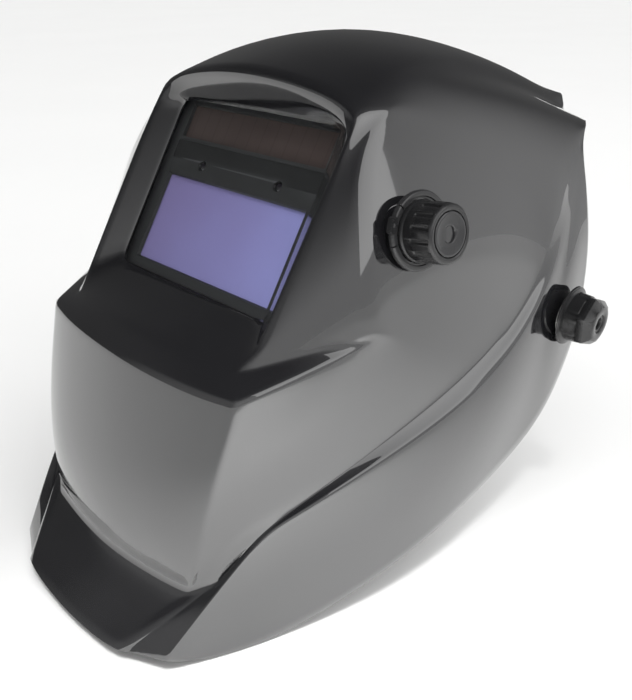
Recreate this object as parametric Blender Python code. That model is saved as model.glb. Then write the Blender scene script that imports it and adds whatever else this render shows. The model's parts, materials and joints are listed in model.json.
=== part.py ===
"""Auto-darkening welding helmet, resting tilted back on a table.

World frame: metres, +Z up, the front of the helmet faces -Y and the wearer's left is +X.
The origin is on the table, at the middle of the model's box.

Three frames carry the pieces, each an empty:
  shell_frame  the viewing window: X left, Y back from the filter's face, Z up the window
  head_frame   the wearer's head: origin on the pivot axis, X left, Y back, Z to the crown
  nape_frame   the rear band's plane: as head_frame, but sloping down towards the nape
All design dimensions are millimetres in those frames.
"""

import math

import bmesh
import bpy
import numpy as np
from mathutils import Matrix, Vector

MM = 0.001

# ---------------------------------------------------------------- driving dimensions
WINDOW_RECLINE = 33.3          # degrees that the window leans back from upright
NAPE_SLOPE = 30.0              # degrees that the rear band's plane falls behind the pivots
SHELL_WALL = 2.2
GAP = 0.3

PIVOT_Y = 140.0                # the pivot axis in the shell frame
PIVOT_Z = 33.0
PIVOT_FACE = 113.4             # where the knob washer meets the shell's side
PIVOT_HOLE = 5.2

CARTRIDGE = (110.0, 90.0)      # the usual filter cartridge, with its LCD pane at the origin
CARTRIDGE_Z = 18.0
CARTRIDGE_Y = 0.5
LCD_PANE = (92.0, 42.0)
SOLAR_PANE = (94.8, 15.5)
SOLAR_Z = 49.25
SENSOR_X = 26.0
SENSOR_Z = 29.0
CELL_X = -38.0

SHADE_SEAT = (88.0, 21.0, 30.5)
SHADE_AXIS = (0.976, -0.202, 0.082)
HOUSING_DEPTH = 17.0           # from the seat point in to the potentiometer housing's back
SEAT_LIFT = 0.6                # from the seat point out to the bezel's foot

BAND_X = 82.9                  # half the width of the headband's loop
BROW_Y = 101.0                 # forehead band, in front of the pivots
NAPE_CENTRE = 26.0             # centre of the rear band's arc, behind the pivots
STRAP_LEAN = 24.0              # degrees that the crown straps lean to the front and to the rear
STUD_HEIGHT = 32.0             # where a crown strap's stud passes the temple plate, above the pivot
STUD_RADIUS = 2.3
RATCHET_FACE = 128.0           # outer face of the ratchet knob behind the pivots
RATCHET_RADIUS = 20.0

# ---------------------------------------------------------------- finishes
BLACK_GLOSS = ((0.012, 0.012, 0.013), 0.08, 0.0)
BLACK_SATIN = ((0.018, 0.018, 0.019), 0.35, 0.0)
BLACK_MATTE = ((0.025, 0.025, 0.026), 0.6, 0.0)
CLEAR = ((0.85, 0.88, 0.90), 0.05, 0.0)
LCD_VIOLET = ((0.30, 0.29, 0.62), 0.06, 0.0)
LCD_DARK = ((0.05, 0.09, 0.07), 0.10, 0.0)
SOLAR_BROWN = ((0.05, 0.03, 0.028), 0.18, 0.0)
BOARD_GREEN = ((0.02, 0.16, 0.06), 0.5, 0.0)
STEEL = ((0.55, 0.55, 0.56), 0.3, 1.0)
NYLON_WHITE = ((0.75, 0.74, 0.70), 0.5, 0.0)
CLOTH_BLACK = ((0.03, 0.03, 0.032), 0.95, 0.0)
STRAP_BLACK = ((0.03, 0.03, 0.03), 0.45, 0.0)

# ---------------------------------------------------------------- the shell's feature lines
# Each line runs from the crown's rear edge (station 0) over the brow (4), the window (5-7), the
# crease under it (8), the ledge on top of the snout (9), the snout's foot (14) to the rim (15).
# A run gives (x, up, out) at some stations; a smooth curve joins the points of one run.
CENTRE = [
    {0: (0, 174, -186), 2: (0, 150.5, -95.5), 3: (0, 120, -21.5), 4: (0, 70.5, 22)},
    {5: (0, 59, 3), 7: (0, -27, 3)}, {8: (0, -52, 26.5)},
    {9: (0, -65, 27), 12: (0, -126.5, 6), 14: (0, -155, -8.5)}, {15: (0, -188, -0.5)}]
WINDOW_EDGE = [
    {0: (42, 165, -179), 2: (40.5, 141.5, -92.5), 3: (44, 111, -21.5), 4: (50, 66.5, 15)},
    {5: (52, 58, 3), 7: (52, -27, 3)}, {8: (45, -51, 19.5)},
    {9: (49, -62, 23), 12: (45.5, -124.5, 3), 14: (42, -151, -12.5)}, {15: (27, -186.2, -1)}]
FRAME_EDGE = [
    {0: (50, 153, -175), 2: (48.5, 127, -83.5), 3: (54.5, 98.5, -17), 4: (63, 62, 9.5)},
    {5: (63, 50, 10.5), 7: (62, -37, 12)}, {8: (59, -50, 14.5)},
    {9: (69, -58.5, 19), 12: (62, -120.5, -1), 14: (54, -149, -15)}, {15: (36, -184.4, -1.6)}]
CHEEK = [
    {0: (60, 148, -165), 2: (61, 118, -75), 3: (64, 91.5, -21), 4: (66, 74, -6)},
    {5: (68, 51, 8.5), 6: (79.5, 22.5, 3.5), 8: (91.5, -14, -17)}, {9: (93, -13.5, -24.5)},
    {10: (79, -70.5, -3.5), 12: (68, -109.5, -7), 14: (58.5, -145.5, -15.5)},
    {15: (39, -184, -2.3)}]
SIDE = [
    {0: (72, 142.7, -160), 2: (74.5, 112, -84), 3: (76.5, 99, -66)},
    {4: (79, 91.5, -57.5), 6: (91, 46.5, -41.5), 8: (96, 0, -49), 9: (97, -18.5, -44.5)},
    {10: (87.5, -62.5, -26.5), 12: (74.5, -103, -17), 13: (69, -116.5, -11.5), 14: (62, -142, -16.5)},
    {15: (41, -183.7, -3.2)}]
SWOOSH_TOP = [
    {0: (79, 135, -148), 1: (87.5, 113, -120.5), 3: (99, 78, -110), 6: (104, 29, -107.5),
     9: (100, -28.5, -72.5), 11: (87, -79.5, -36), 13: (75, -109, -18.5)},
    {14: (66, -136.5, -18)}, {15: (42.5, -183.2, -4.6)}]
SWOOSH_FOOT = [
    {0: (90, 114, -134), 3: (104, 67.5, -126), 6: (110, 23.5, -111.5), 9: (106, -34.5, -77),
     11: (90.5, -82, -35.5), 13: (76, -110.5, -19.5)},
    {14: (69, -140.5, -13.5)}, {15: (60, -177.5, -10.5)}]
LOBE = [
    {0: (108, 74.5, -146.5), 1: (111.5, 56.5, -135.5), 4: (113.5, 12, -131), 7: (113.5, -29.5, -109.5),
     10: (101.5, -90, -62.5), 13: (76, -140, -26.5), 15: (62.3, -176.8, -14.5)}]
RIM = [
    {0: (113, 32, -161.5), 3: (114.5, -14.5, -160.5), 6: (112, -55.5, -138), 9: (106, -103.5, -93.5),
     12: (81.5, -157.5, -52), 15: (64.5, -175.8, -19.5)}]
SWOOSH_GROOVE = 0.6            # the groove between the swoosh's two edges
STATIONS = 16


def natural_spline(knots, points, stations):
    """Natural cubic spline through points (rows) at the knots, read at the stations."""
    knots = np.array(knots, float)
    points = np.array(points, float)
    if len(knots) == 1:
        return np.repeat(points, len(stations), axis=0)
    if len(knots) == 2:
        part = (np.array(stations) - knots[0]) / (knots[1] - knots[0])
        return points[0] + part[:, None] * (points[1] - points[0])
    count = len(knots)
    step = np.diff(knots)
    system = np.eye(count)
    slopes = np.zeros((count, 3))
    for i in range(1, count - 1):
        system[i, i - 1:i + 2] = step[i - 1], 2 * (step[i - 1] + step[i]), step[i]
        slopes[i] = 6 * ((points[i + 1] - points[i]) / step[i]
                         - (points[i] - points[i - 1]) / step[i - 1])
    bend = np.linalg.solve(system, slopes)
    values = []
    for station in stations:
        i = int(np.clip(np.searchsorted(knots, station, side="right") - 1, 0, count - 2))
        a = (knots[i + 1] - station) / step[i]
        b = (station - knots[i]) / step[i]
        curve = ((a ** 3 - a) * bend[i] + (b ** 3 - b) * bend[i + 1]) * step[i] ** 2 / 6
        values.append(a * points[i] + b * points[i + 1] + curve)
    return np.array(values)


def line_points(runs):
    """The 16 points of one feature line."""
    points = np.zeros((STATIONS, 3))
    for run in runs:
        knots = sorted(run)
        stations = list(range(knots[0], knots[-1] + 1))
        points[knots[0]:knots[-1] + 1] = natural_spline(knots, [run[k] for k in knots], stations)
    return points


def shell_lines():
    """All ten feature lines of the left half, from the centre line out to the rim."""
    lines = [line_points(runs) for runs in (CENTRE, WINDOW_EDGE, FRAME_EDGE, CHEEK, SIDE, SWOOSH_TOP)]
    foot = line_points(SWOOSH_FOOT)
    groove = (lines[5] + foot) / 2 - np.array((SWOOSH_GROOVE, 0, 0))
    return lines + [groove, foot, line_points(LOBE), line_points(RIM)]


# How sharp the shell's edges are: (line or station, first, last, sharpness)
CREASED_STATIONS = [
    (4, 0, 2, 0.85), (4, 2, 3, 0.6), (4, 3, 4, 0.4),
    (5, 1, 2, 0.9), (7, 1, 2, 0.9), (8, 0, 2, 0.7), (8, 2, 3, 0.85), (9, 0, 2, 0.8), (9, 2, 3, 0.7),
    (14, 0, 5, 0.45)]
CREASED_LINES = [
    (2, 4, 9, 0.85), (2, 9, 14, 0.6), (3, 4, 8, 0.7), (3, 8, 9, 0.8),
    (5, 3, 7, 0.3), (5, 7, 10, 0.5), (5, 10, 15, 0.7), (7, 8, 13, 0.4), (7, 13, 15, 0.6)]
# Corner points that stay pointed: (line, station, sharpness)
CREASED_CORNERS = [(1, 5, 0.8), (1, 7, 0.8), (1, 0, 0.6), (2, 0, 0.5), (4, 0, 0.8), (5, 0, 0.4)]


def shell_cage():
    """The control cage of the whole shell, with the window left open."""
    lines = shell_lines()
    bm = bmesh.new()
    sharp = bm.edges.layers.float.new("crease_edge")
    corner = bm.verts.layers.float.new("crease_vert")
    grid = {}
    for column in range(-9, 10):
        side = -1 if column < 0 else 1
        for station in range(STATIONS):
            x, up, out = lines[abs(column)][station]
            grid[column, station] = bm.verts.new((side * x, -out, up))
    for column in range(-9, 9):
        for station in range(STATIONS - 1):
            if column in (-1, 0) and station in (5, 6):
                continue
            bm.faces.new((grid[column, station], grid[column, station + 1],
                          grid[column + 1, station + 1], grid[column + 1, station]))
    for side in (-1, 1):
        for station, first, last, amount in CREASED_STATIONS:
            for column in range(first, last):
                ends = (grid[side * column, station], grid[side * (column + 1), station])
                bm.edges.get(ends)[sharp] = amount
        for column, first, last, amount in CREASED_LINES:
            for station in range(first, last):
                ends = (grid[side * column, station], grid[side * column, station + 1])
                bm.edges.get(ends)[sharp] = amount
        for column, station, amount in CREASED_CORNERS:
            grid[side * column, station][corner] = amount
    bmesh.ops.recalc_face_normals(bm, faces=bm.faces)
    return bm


# ---------------------------------------------------------------- making objects
def clear_scene():
    for obj in list(bpy.data.objects):
        bpy.data.objects.remove(obj, do_unlink=True)


def frame(name, parent=None, location=(0, 0, 0), rotation=(0, 0, 0)):
    """An empty that carries pieces; location in mm, rotation in degrees."""
    empty = bpy.data.objects.new(name, None)
    bpy.context.scene.collection.objects.link(empty)
    empty.parent = parent
    empty.location = Vector(location) * MM
    empty.rotation_euler = [math.radians(angle) for angle in rotation]
    return empty


def frame_along(name, parent, location, direction):
    """An empty whose Z axis lies along direction in its parent's frame."""
    empty = frame(name, parent, location)
    empty.rotation_euler = Vector((0, 0, 1)).rotation_difference(Vector(direction)).to_euler()
    return empty


def piece(name, bm, parent, finish, location=(0, 0, 0), sharp_angle=35):
    """Turn a bmesh in mm into a named object with its own material."""
    bmesh.ops.recalc_face_normals(bm, faces=bm.faces)
    bmesh.ops.scale(bm, vec=(MM, MM, MM), verts=bm.verts)
    mesh = bpy.data.meshes.new(name)
    bm.to_mesh(mesh)
    bm.free()
    mesh.shade_smooth()
    mesh.set_sharp_from_angle(angle=math.radians(sharp_angle))
    obj = bpy.data.objects.new(name, mesh)
    bpy.context.scene.collection.objects.link(obj)
    obj.parent = parent
    obj.location = Vector(location) * MM
    paint(obj, finish)
    return obj


def paint(obj, finish):
    colour, roughness, metallic = finish
    material = bpy.data.materials.new(obj.name)
    material.use_nodes = True
    shader = material.node_tree.nodes["Principled BSDF"]
    shader.inputs["Base Color"].default_value = (*colour, 1.0)
    shader.inputs["Roughness"].default_value = roughness
    shader.inputs["Metallic"].default_value = metallic
    obj.data.materials.append(material)


def cut(target, cutters, operation="DIFFERENCE"):
    """Cut (or join) the target with other pieces, which are then only guides."""
    for cutter in cutters:
        cutter.hide_render = True
        cutter.display_type = "WIRE"
        modifier = target.modifiers.new(cutter.name, "BOOLEAN")
        modifier.operation = operation
        modifier.solver = "EXACT"
        modifier.object = cutter


def slab(low, high, corner=0.0, across=1, segments=3):
    """A box between two corners in mm, its edges along one axis rounded."""
    bm = bmesh.new()
    bmesh.ops.create_cube(bm, size=1.0)
    low = Vector(low)
    high = Vector(high)
    size = high - low
    bmesh.ops.scale(bm, vec=size, verts=bm.verts)
    bmesh.ops.translate(bm, vec=(low + high) / 2, verts=bm.verts)
    if corner:
        edges = [e for e in bm.edges
                 if abs((e.verts[0].co - e.verts[1].co)[across]) > size[across] * 0.5]
        bmesh.ops.bevel(bm, geom=edges, offset=corner, segments=segments, profile=0.5, affect="EDGES")
    return bm


def turned(rings, count=32, closed=False):
    """A solid about Z from (height, radius) rings; a radius may be a function of the angle."""
    bm = bmesh.new()
    loops = []
    for height, radius in rings:
        loop = []
        for i in range(count):
            angle = 2 * math.pi * i / count
            r = radius(angle) if callable(radius) else radius
            loop.append(bm.verts.new((r * math.cos(angle), r * math.sin(angle), height)))
        loops.append(loop)
    pairs = list(zip(loops, loops[1:]))
    if closed:
        pairs.append((loops[-1], loops[0]))
    for lower, upper in pairs:
        for i in range(count):
            j = (i + 1) % count
            bm.faces.new((lower[i], lower[j], upper[j], upper[i]))
    if not closed:
        bm.faces.new(reversed(loops[0]))
        bm.faces.new(loops[-1])
    return bm


def ring(low, high, inner, outer, count=32, chamfer=0.0):
    """A plain ring with chamfered outer edges."""
    rings = [(low, inner), (low, outer - chamfer)]
    if chamfer:
        rings += [(low + chamfer, outer), (high - chamfer, outer)]
    rings += [(high, outer - chamfer), (high, inner)]
    return turned(rings, count, closed=True)


def joined(meshes):
    """Several bmeshes as one."""
    whole = meshes[0]
    for other in meshes[1:]:
        copy = bpy.data.meshes.new("copy")
        other.to_mesh(copy)
        whole.from_mesh(copy)
        bpy.data.meshes.remove(copy)
        other.free()
    return whole


def rod(low, high, radius, count=24, chamfer=0.0):
    rings = [(low, radius - chamfer), (low + chamfer, radius), (high - chamfer, radius),
             (high, radius - chamfer)]
    return turned(rings if chamfer else [(low, radius), (high, radius)], count)


def lobes(radius, depth, count, power=1.0):
    """A radius with count shallow flutes, for grips."""
    def at(angle):
        wave = 0.5 + 0.5 * math.cos(count * angle)
        return radius - depth * (1 - wave ** power)
    return at


def strip(path, normals, thickness, low, high, up=Vector((0, 0, 1))):
    """A flat band along a path: thickness along the normals, from low to high along up."""
    bm = bmesh.new()
    count = len(path)
    lows = low if isinstance(low, list) else [low] * count
    highs = high if isinstance(high, list) else [high] * count
    ups = up if isinstance(up, list) else [up] * count
    loops = []
    for point, normal, under, over, lift in zip(path, normals, lows, highs, ups):
        half = normal * (thickness / 2)
        loops.append([bm.verts.new(point + half + lift * under), bm.verts.new(point + half + lift * over),
                      bm.verts.new(point - half + lift * over), bm.verts.new(point - half + lift * under)])
    for first, second in zip(loops, loops[1:]):
        for i in range(4):
            j = (i + 1) % 4
            bm.faces.new((first[i], first[j], second[j], second[i]))
    bm.faces.new(reversed(loops[0]))
    bm.faces.new(loops[-1])
    return bm


def super_arc(angle, wide, tall, power=2.3):
    """A point of a rounded-square quarter: angle 0 at (wide, 0), 90 degrees at (0, tall)."""
    c = math.cos(angle)
    s = math.sin(angle)
    return (wide * math.copysign(abs(c) ** (2 / power), c), tall * math.copysign(abs(s) ** (2 / power), s))


def path_normals(path, up=Vector((0, 0, 1))):
    """Unit normals of a path, square to it and to up."""
    normals = []
    for i in range(len(path)):
        along = path[min(i + 1, len(path) - 1)] - path[max(i - 1, 0)]
        lift = up[i] if isinstance(up, list) else up
        normals.append(along.cross(lift).normalized())
    return normals


# ---------------------------------------------------------------- shell
def make_shell(shell_frame):
    bm = shell_cage()
    bmesh.ops.scale(bm, vec=(MM, MM, MM), verts=bm.verts)
    mesh = bpy.data.meshes.new("helmet_shell")
    bm.to_mesh(mesh)
    bm.free()
    mesh.shade_smooth()
    shell = bpy.data.objects.new("helmet_shell", mesh)
    bpy.context.scene.collection.objects.link(shell)
    shell.parent = shell_frame
    paint(shell, BLACK_GLOSS)
    smooth = shell.modifiers.new("surface", "SUBSURF")
    smooth.levels = 1
    smooth.render_levels = 1
    wall = shell.modifiers.new("wall", "SOLIDIFY")
    wall.thickness = SHELL_WALL * MM
    wall.offset = -1.0
    wall.use_even_offset = True
    across = frame("pivot_cut_frame", shell_frame, (0, PIVOT_Y, PIVOT_Z), (0, 90, 0))
    pivot_cut = piece("pivot_cut", rod(-160, 160, PIVOT_HOLE), across, STEEL)
    seat = frame_along("shade_cut_frame", shell_frame, SHADE_SEAT, SHADE_AXIS)
    shade_cut = piece("shade_cut", rod(-15, 15, 4.1), seat, STEEL)
    cut(shell, [pivot_cut, shade_cut])
    return shell


# ---------------------------------------------------------------- filter cartridge
def window_slab(name, parent, finish, size, centre_z, y_low, y_high, corner=1.5, centre_x=0.0):
    """An upright rounded plate behind the window."""
    low = (centre_x - size[0] / 2, y_low, centre_z - size[1] / 2)
    high = (centre_x + size[0] / 2, y_high, centre_z + size[1] / 2)
    return piece(name, slab(low, high, corner), parent, finish)


def make_cartridge(shell_frame):
    front = CARTRIDGE_Y
    middle = front + 5.0
    back = front + 9.0
    inner = (CARTRIDGE[0] - 3.0, CARTRIDGE[1] - 3.0)
    case = window_slab("filter_front_case", shell_frame, BLACK_MATTE, CARTRIDGE, CARTRIDGE_Z, front, middle, 2.5)
    cut(case, [
        window_slab("case_hollow", shell_frame, STEEL, inner, CARTRIDGE_Z, front + 1.5, middle + 2),
        window_slab("lcd_hole", shell_frame, STEEL, LCD_PANE, 0, front - 2, front + 3),
        window_slab("solar_hole", shell_frame, STEEL, SOLAR_PANE, SOLAR_Z, front - 2, front + 3, 1.0),
        *[piece("sensor_hole", rod(-4, 4, 3.1, 16), eye_frame(shell_frame, side), STEEL) for side in (-1, 1)]])
    cover = window_slab("filter_back_case", shell_frame, BLACK_MATTE, CARTRIDGE, CARTRIDGE_Z,
                        middle + GAP, back, 2.5)
    cut(cover, [
        window_slab("cover_hollow", shell_frame, STEEL, inner, CARTRIDGE_Z, middle - 2, back - 1.5),
        window_slab("view_hole", shell_frame, STEEL, LCD_PANE, 0, middle, back + 2),
        window_slab("battery_hole", shell_frame, STEEL, (21, 21), 34, back - 3, back + 2, 4, CELL_X),
        *[piece("dial_hole", rod(-4, 4, 2.2, 12), dial_frame(shell_frame, side, back), STEEL)
          for side in (-1, 1)]])
    pane = (LCD_PANE[0] + 5, LCD_PANE[1] + 5)
    window_slab("uv_ir_glass", shell_frame, LCD_VIOLET, pane, 0, front + 1.8, front + 3.0, 1.0)
    window_slab("lcd_shutter", shell_frame, LCD_DARK, pane, 0, front + 3.3, front + 6.8, 1.0)
    window_slab("solar_cell", shell_frame, SOLAR_BROWN, (97, 17.5), SOLAR_Z, front + 1.8, front + 3.2, 0.8)
    window_slab("circuit_board", shell_frame, BOARD_GREEN, (76, 33), 43.5, front + 4.4, front + 6.0, 1.0, 13)
    for side, name in ((1, "left"), (-1, "right")):
        piece("arc_sensor_" + name, turned([(-0.2, 2.7), (2.2, 2.7), (3.2, 2.1), (3.5, 1.0)], 16),
              eye_frame(shell_frame, side, front + 4.0), BLACK_GLOSS)
    cell_frame = frame("cell_frame", shell_frame, (CELL_X, front + 4.5, 34), (-90, 0, 0))
    piece("coin_cell", rod(0, 3.2, 10.0, 24, 0.3), cell_frame, STEEL)
    door = window_slab("battery_door", shell_frame, BLACK_MATTE, (24, 24), 34, back + GAP, back + 1.5, 4, CELL_X)
    slot = piece("coin_slot", slab((CELL_X - 4.5, back + 1.0, 33.3), (CELL_X + 4.5, back + 3, 34.7)), shell_frame, STEEL)
    cut(door, [slot])
    dial_grip = lobes(7.0, 0.6, 8)
    for side, name in ((1, "sensitivity_dial"), (-1, "delay_dial")):
        axis = dial_frame(shell_frame, side, back)
        dial = piece(name, turned([(-2.4, 1.9), (0.3, 1.9), (0.3, 6.4), (0.7, dial_grip), (3.6, dial_grip)],
                                  24), axis, BLACK_SATIN)
        cut(dial, [piece(name + "_slot", slab((-5, -0.6, 2.8), (5, 0.6, 5)), axis, STEEL)])
    return back


def eye_frame(shell_frame, side, y=CARTRIDGE_Y):
    """A frame at an arc sensor, its Z axis towards the front."""
    return frame("sensor_frame", shell_frame, (side * SENSOR_X, y, SENSOR_Z), (90, 0, 0))


def dial_frame(shell_frame, side, back):
    """A frame at a dial on the cartridge's back, its Z axis towards the wearer."""
    return frame("dial_frame", shell_frame, (side * 22 + 10, back, 47), (-90, 0, 0))


def make_lens_and_holder(shell_frame, back):
    window_slab("outer_cover_lens", shell_frame, CLEAR, (113, 93), CARTRIDGE_Z, -0.8, 0.2, 2.0)
    window_slab("inner_cover_lens", shell_frame, CLEAR, (99, 44), -1.2, back + GAP, back + 1.3, 1.5)
    holder = window_slab("filter_holder", shell_frame, BLACK_SATIN, (120, 100), CARTRIDGE_Z, 0.6, back + 3.4, 5)
    rest = (CARTRIDGE[0] + 0.8, CARTRIDGE[1] + 0.8)
    cut(holder, [
        window_slab("holder_pocket", shell_frame, STEEL, rest, CARTRIDGE_Z, -3, back + GAP, 2.0),
        window_slab("holder_window", shell_frame, STEEL, (103, 83), CARTRIDGE_Z, 0, back + 6, 4.0)])


# ---------------------------------------------------------------- shade control
def make_shade_control(shell_frame):
    seat = frame_along("shade_frame", shell_frame, SHADE_SEAT, SHADE_AXIS)
    bezel = piece("shade_bezel", turned([(SEAT_LIFT, 13.2), (SEAT_LIFT, 16.5), (3.4, 16.5), (4.6, 15.6),
                                         (4.6, 13.2)], 36, closed=True), seat, BLACK_SATIN)
    notches = []
    for turn in range(4):
        notch = slab((15.0, -1.8, 2.2), (20, 1.8, 8))
        bmesh.ops.rotate(notch, cent=(0, 0, 0), matrix=Matrix.Rotation(math.radians(90 * turn + 33), 3, "Z"),
                         verts=notch.verts)
        notches.append(notch)
    cut(bezel, [piece("bezel_notches", joined(notches), seat, STEEL)])
    grip = lobes(12.6, 1.0, 12, 2.0)
    piece("shade_knob", turned([
        (16.4, 3.1), (6.2, 3.1), (6.2, 6.6), (SEAT_LIFT + 0.6, 6.6), (SEAT_LIFT + 0.6, 12.4), (3.0, 12.8),
        (6.0, grip), (14.6, grip), (15.4, 11.6), (17.8, 11.2), (18.4, 10.4), (18.4, 9.2), (16.4, 8.9)],
        36, closed=True), seat, BLACK_SATIN)
    piece("shade_knob_cap", turned([(16.7, 8.6), (18.2, 8.6), (17.4, 5.4), (17.2, 1.6)], 24), seat, BLACK_GLOSS)
    piece("shade_shaft", rod(-11.0, 16.2, 2.7, 12), seat, STEEL)
    piece("shade_nut", ring(SEAT_LIFT + 0.6, 5.4, 4.6, 6.2, 6), seat, STEEL)
    piece("potentiometer", turned([(-12.0, 3.1), (5.8, 3.1), (5.8, 3.7), (-7.0, 3.7), (-7.0, 8.0), (-12.0, 8.0)],
                                  18, closed=True), seat, STEEL)
    box = piece("shade_housing", slab((-12, -12, -HOUSING_DEPTH), (12, 12, -8.0), 3.0, across=2, segments=2), seat,
                BLACK_SATIN)
    cut(box, [piece("housing_hollow", slab((-10.5, -10.5, 1.5 - HOUSING_DEPTH), (10.5, 10.5, 2)), seat, STEEL)])


# The lead's way from the shade housing's back round to the cartridge, in the shell frame
LEAD_ROUTE = [(71.0, 24.6, 29.1), (66.0, 25.6, 28.7), (60.5, 25.9, 28.4), (55.0, 24.3, 29.0),
              (50.2, 20.4, 30.6), (47.2, 15.2, 31.8), (46.5, 9.9, 32.0)]
LEAD_DIAMETER = 3.2


def make_lead(shell_frame):
    """The three-wire lead between the shade control and the cartridge."""
    stations = np.linspace(0, len(LEAD_ROUTE) - 1, 19)
    points = natural_spline(range(len(LEAD_ROUTE)), LEAD_ROUTE, stations)
    data = bpy.data.curves.new("shade_lead", "CURVE")
    data.dimensions = "3D"
    data.bevel_depth = LEAD_DIAMETER / 2 * MM
    data.bevel_resolution = 2
    data.use_fill_caps = True
    spline = data.splines.new("POLY")
    spline.points.add(len(points) - 1)
    for target, point in zip(spline.points, points):
        target.co = (*(point * MM), 1.0)
    lead = bpy.data.objects.new("shade_lead", data)
    bpy.context.scene.collection.objects.link(lead)
    lead.parent = shell_frame
    paint(lead, BLACK_SATIN)


# ---------------------------------------------------------------- pivots
def make_pivot(head_frame, side, name):
    """One side's pivot; the frame's Z axis points out through the shell."""
    axis = frame("pivot_" + name, head_frame, (0, 0, 0), (0, 90 * side, 0))
    out = PIVOT_FACE + GAP
    hex_head = lobes(12.6, 1.3, 6, 0.7)
    piece("tension_knob_" + name, turned([
        (out + 11, 4.2), (out + 1.3, 4.2), (out + 1.3, 15.3), (out + 2.8, 15.3), (out + 3.4, 12.8),
        (out + 10.6, 12.5), (out + 11.4, hex_head), (out + 15.4, hex_head), (out + 17.4, 9.2),
        (out + 17.4, 3.0), (out + 13.5, 2.8)], 36), axis, BLACK_SATIN)
    piece("knob_washer_" + name, ring(out, out + 1.0, 4.4, 12.5, 24), axis, STEEL)
    piece("pivot_bolt_" + name, turned([
        (84.6, 8.0), (85.4, 8.8), (87.5, 8.8), (87.5, 3.9), (out + 9.6, 3.9), (out + 10.4, 3.1)], 18),
        axis, STEEL)
    tilt = piece("tilt_plate_" + name, ring(101.4, 103.6, 4.4, 14.5, 24), axis, BLACK_SATIN)
    holes = []
    for step in range(4):
        angle = math.radians(47 * step + 12.7)
        hole = rod(100, 106, 1.5, 8)
        bmesh.ops.translate(hole, vec=(9.9 * math.cos(angle), 9.9 * math.sin(angle), 0), verts=hole.verts)
        holes.append(hole)
    cut(tilt, [piece("tilt_holes_" + name, joined(holes), axis, STEEL)])
    piece("spring_washer_" + name, ring(103.9, 104.8, 4.4, 9.5, 24), axis, STEEL)
    piece("friction_washer_" + name, ring(105.1, 106.9, 4.4, 10.5, 24), axis, NYLON_WHITE)
    plate = piece("temple_plate_" + name, temple_outline(side), head_frame, BLACK_SATIN)
    hub = piece("temple_hub_" + name, turned([(85.0, 21.0), (88.0, 19.5), (92.0, 14.6), (101.1, 13.4)], 24),
                axis, STEEL)
    cut(plate, [hub], "UNION")
    cut(plate, [piece("head_recess_" + name, rod(80, 88.0, 9.3, 18), axis, STEEL),
                piece("bolt_bore_" + name, rod(80, 110, 4.3, 18), axis, STEEL),
                *[piece("stud_bore_" + name, rod(80, 90, STUD_RADIUS + GAP, 12),
                        stud_frame(head_frame, side, lean), STEEL) for lean in (-STRAP_LEAN, STRAP_LEAN)]])


def stud_frame(head_frame, side, lean):
    """A frame at a crown strap's stud, its Z axis out through the temple plate."""
    back = STUD_HEIGHT * math.tan(math.radians(lean))
    return frame("stud_frame", head_frame, (0, back, STUD_HEIGHT), (0, 90 * side, 0))


def temple_outline(side):
    """The temple plate: a flat, rounded Y that carries the bands and straps."""
    corners = [(-34, -12), (12, -12), (33, -27), (40, -15), (24, 8), (26, 44), (12, 47), (2, 34), (-8, 47),
               (-24, 42), (-16, 14), (-34, 12)]
    bm = bmesh.new()
    face = bm.faces.new([bm.verts.new((side * 84.2, y, z)) for y, z in corners])
    solid = bmesh.ops.extrude_face_region(bm, geom=[face])
    moved = [item for item in solid["geom"] if isinstance(item, bmesh.types.BMVert)]
    bmesh.ops.translate(bm, vec=(side * 2.6, 0, 0), verts=moved)
    edges = [e for e in bm.edges if abs((e.verts[0].co - e.verts[1].co).x) > 1]
    bmesh.ops.bevel(bm, geom=edges, offset=3.0, segments=1, profile=0.5, affect="EDGES", clamp_overlap=True)
    return bm


# ---------------------------------------------------------------- headgear
def brow_path(inset=0.0, reach=90, start=0.0):
    """The forehead band's middle line, from the left temple round the front to the right."""
    points = []
    if start:
        points.append(Vector((BAND_X - inset, start, 0)))
    for i in range(-12, 13):
        angle = math.radians(reach * i / 12)
        x, y = super_arc(math.pi / 2 - abs(angle), BAND_X - inset, BROW_Y - 22 - inset)
        rise = 16 * (y / (BROW_Y - 22)) ** 2
        points.append(Vector((-x if angle > 0 else x, -22 - y, rise)))
    if start:
        points.append(Vector((-BAND_X + inset, start, 0)))
    return points


def make_bands(head_frame, nape_frame):
    path = brow_path(start=-2.0)
    count = len(path)
    narrow = [14 - 4 * abs(2 * i / (count - 1) - 1) ** 2 for i in range(count)]
    piece("browband", strip(path, path_normals(path), 1.8, [-h for h in narrow], narrow),
          head_frame, STRAP_BLACK)
    inner = brow_path(inset=4.6, reach=72)
    piece("sweatband", strip(inner, path_normals(inner), 6.0, -16.0, 16.0), head_frame, CLOTH_BLACK,
          sharp_angle=60)
    for side, name in ((1, "left"), (-1, "right")):
        path = [Vector((side * BAND_X, y, 0)) for y in (8, 17)] + nape_arc(side, BAND_X, 0, 52, 8)
        piece("rear_band_" + name, strip(path, path_normals(path), 1.8, -11, 11), nape_frame, STRAP_BLACK)
        make_tail(nape_frame, side, name)
        rivet(head_frame, "brow_rivet_" + name, side, -24, 0)
        rivet(nape_frame, "rear_rivet_" + name, side, 17, 0)


def rivet(parent, name, side, y, z):
    """A shouldered rivet through a band and the temple plate."""
    axis = frame(name + "_frame", parent, (0, y, z), (0, 90 * side, 0))
    piece(name, turned([(80.4, 3.0), (81.6, 4.2), (81.7, 4.2)], 16), axis, STRAP_BLACK)


def nape_arc(side, radius, first, last, count):
    """Points of the rear band's arc; 0 degrees is at the temple, 90 at the nape."""
    points = []
    for i in range(count + 1):
        angle = math.radians(first + (last - first) * i / count)
        points.append(Vector((side * radius * math.cos(angle), NAPE_CENTRE + radius * math.sin(angle), 0)))
    return points


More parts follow.
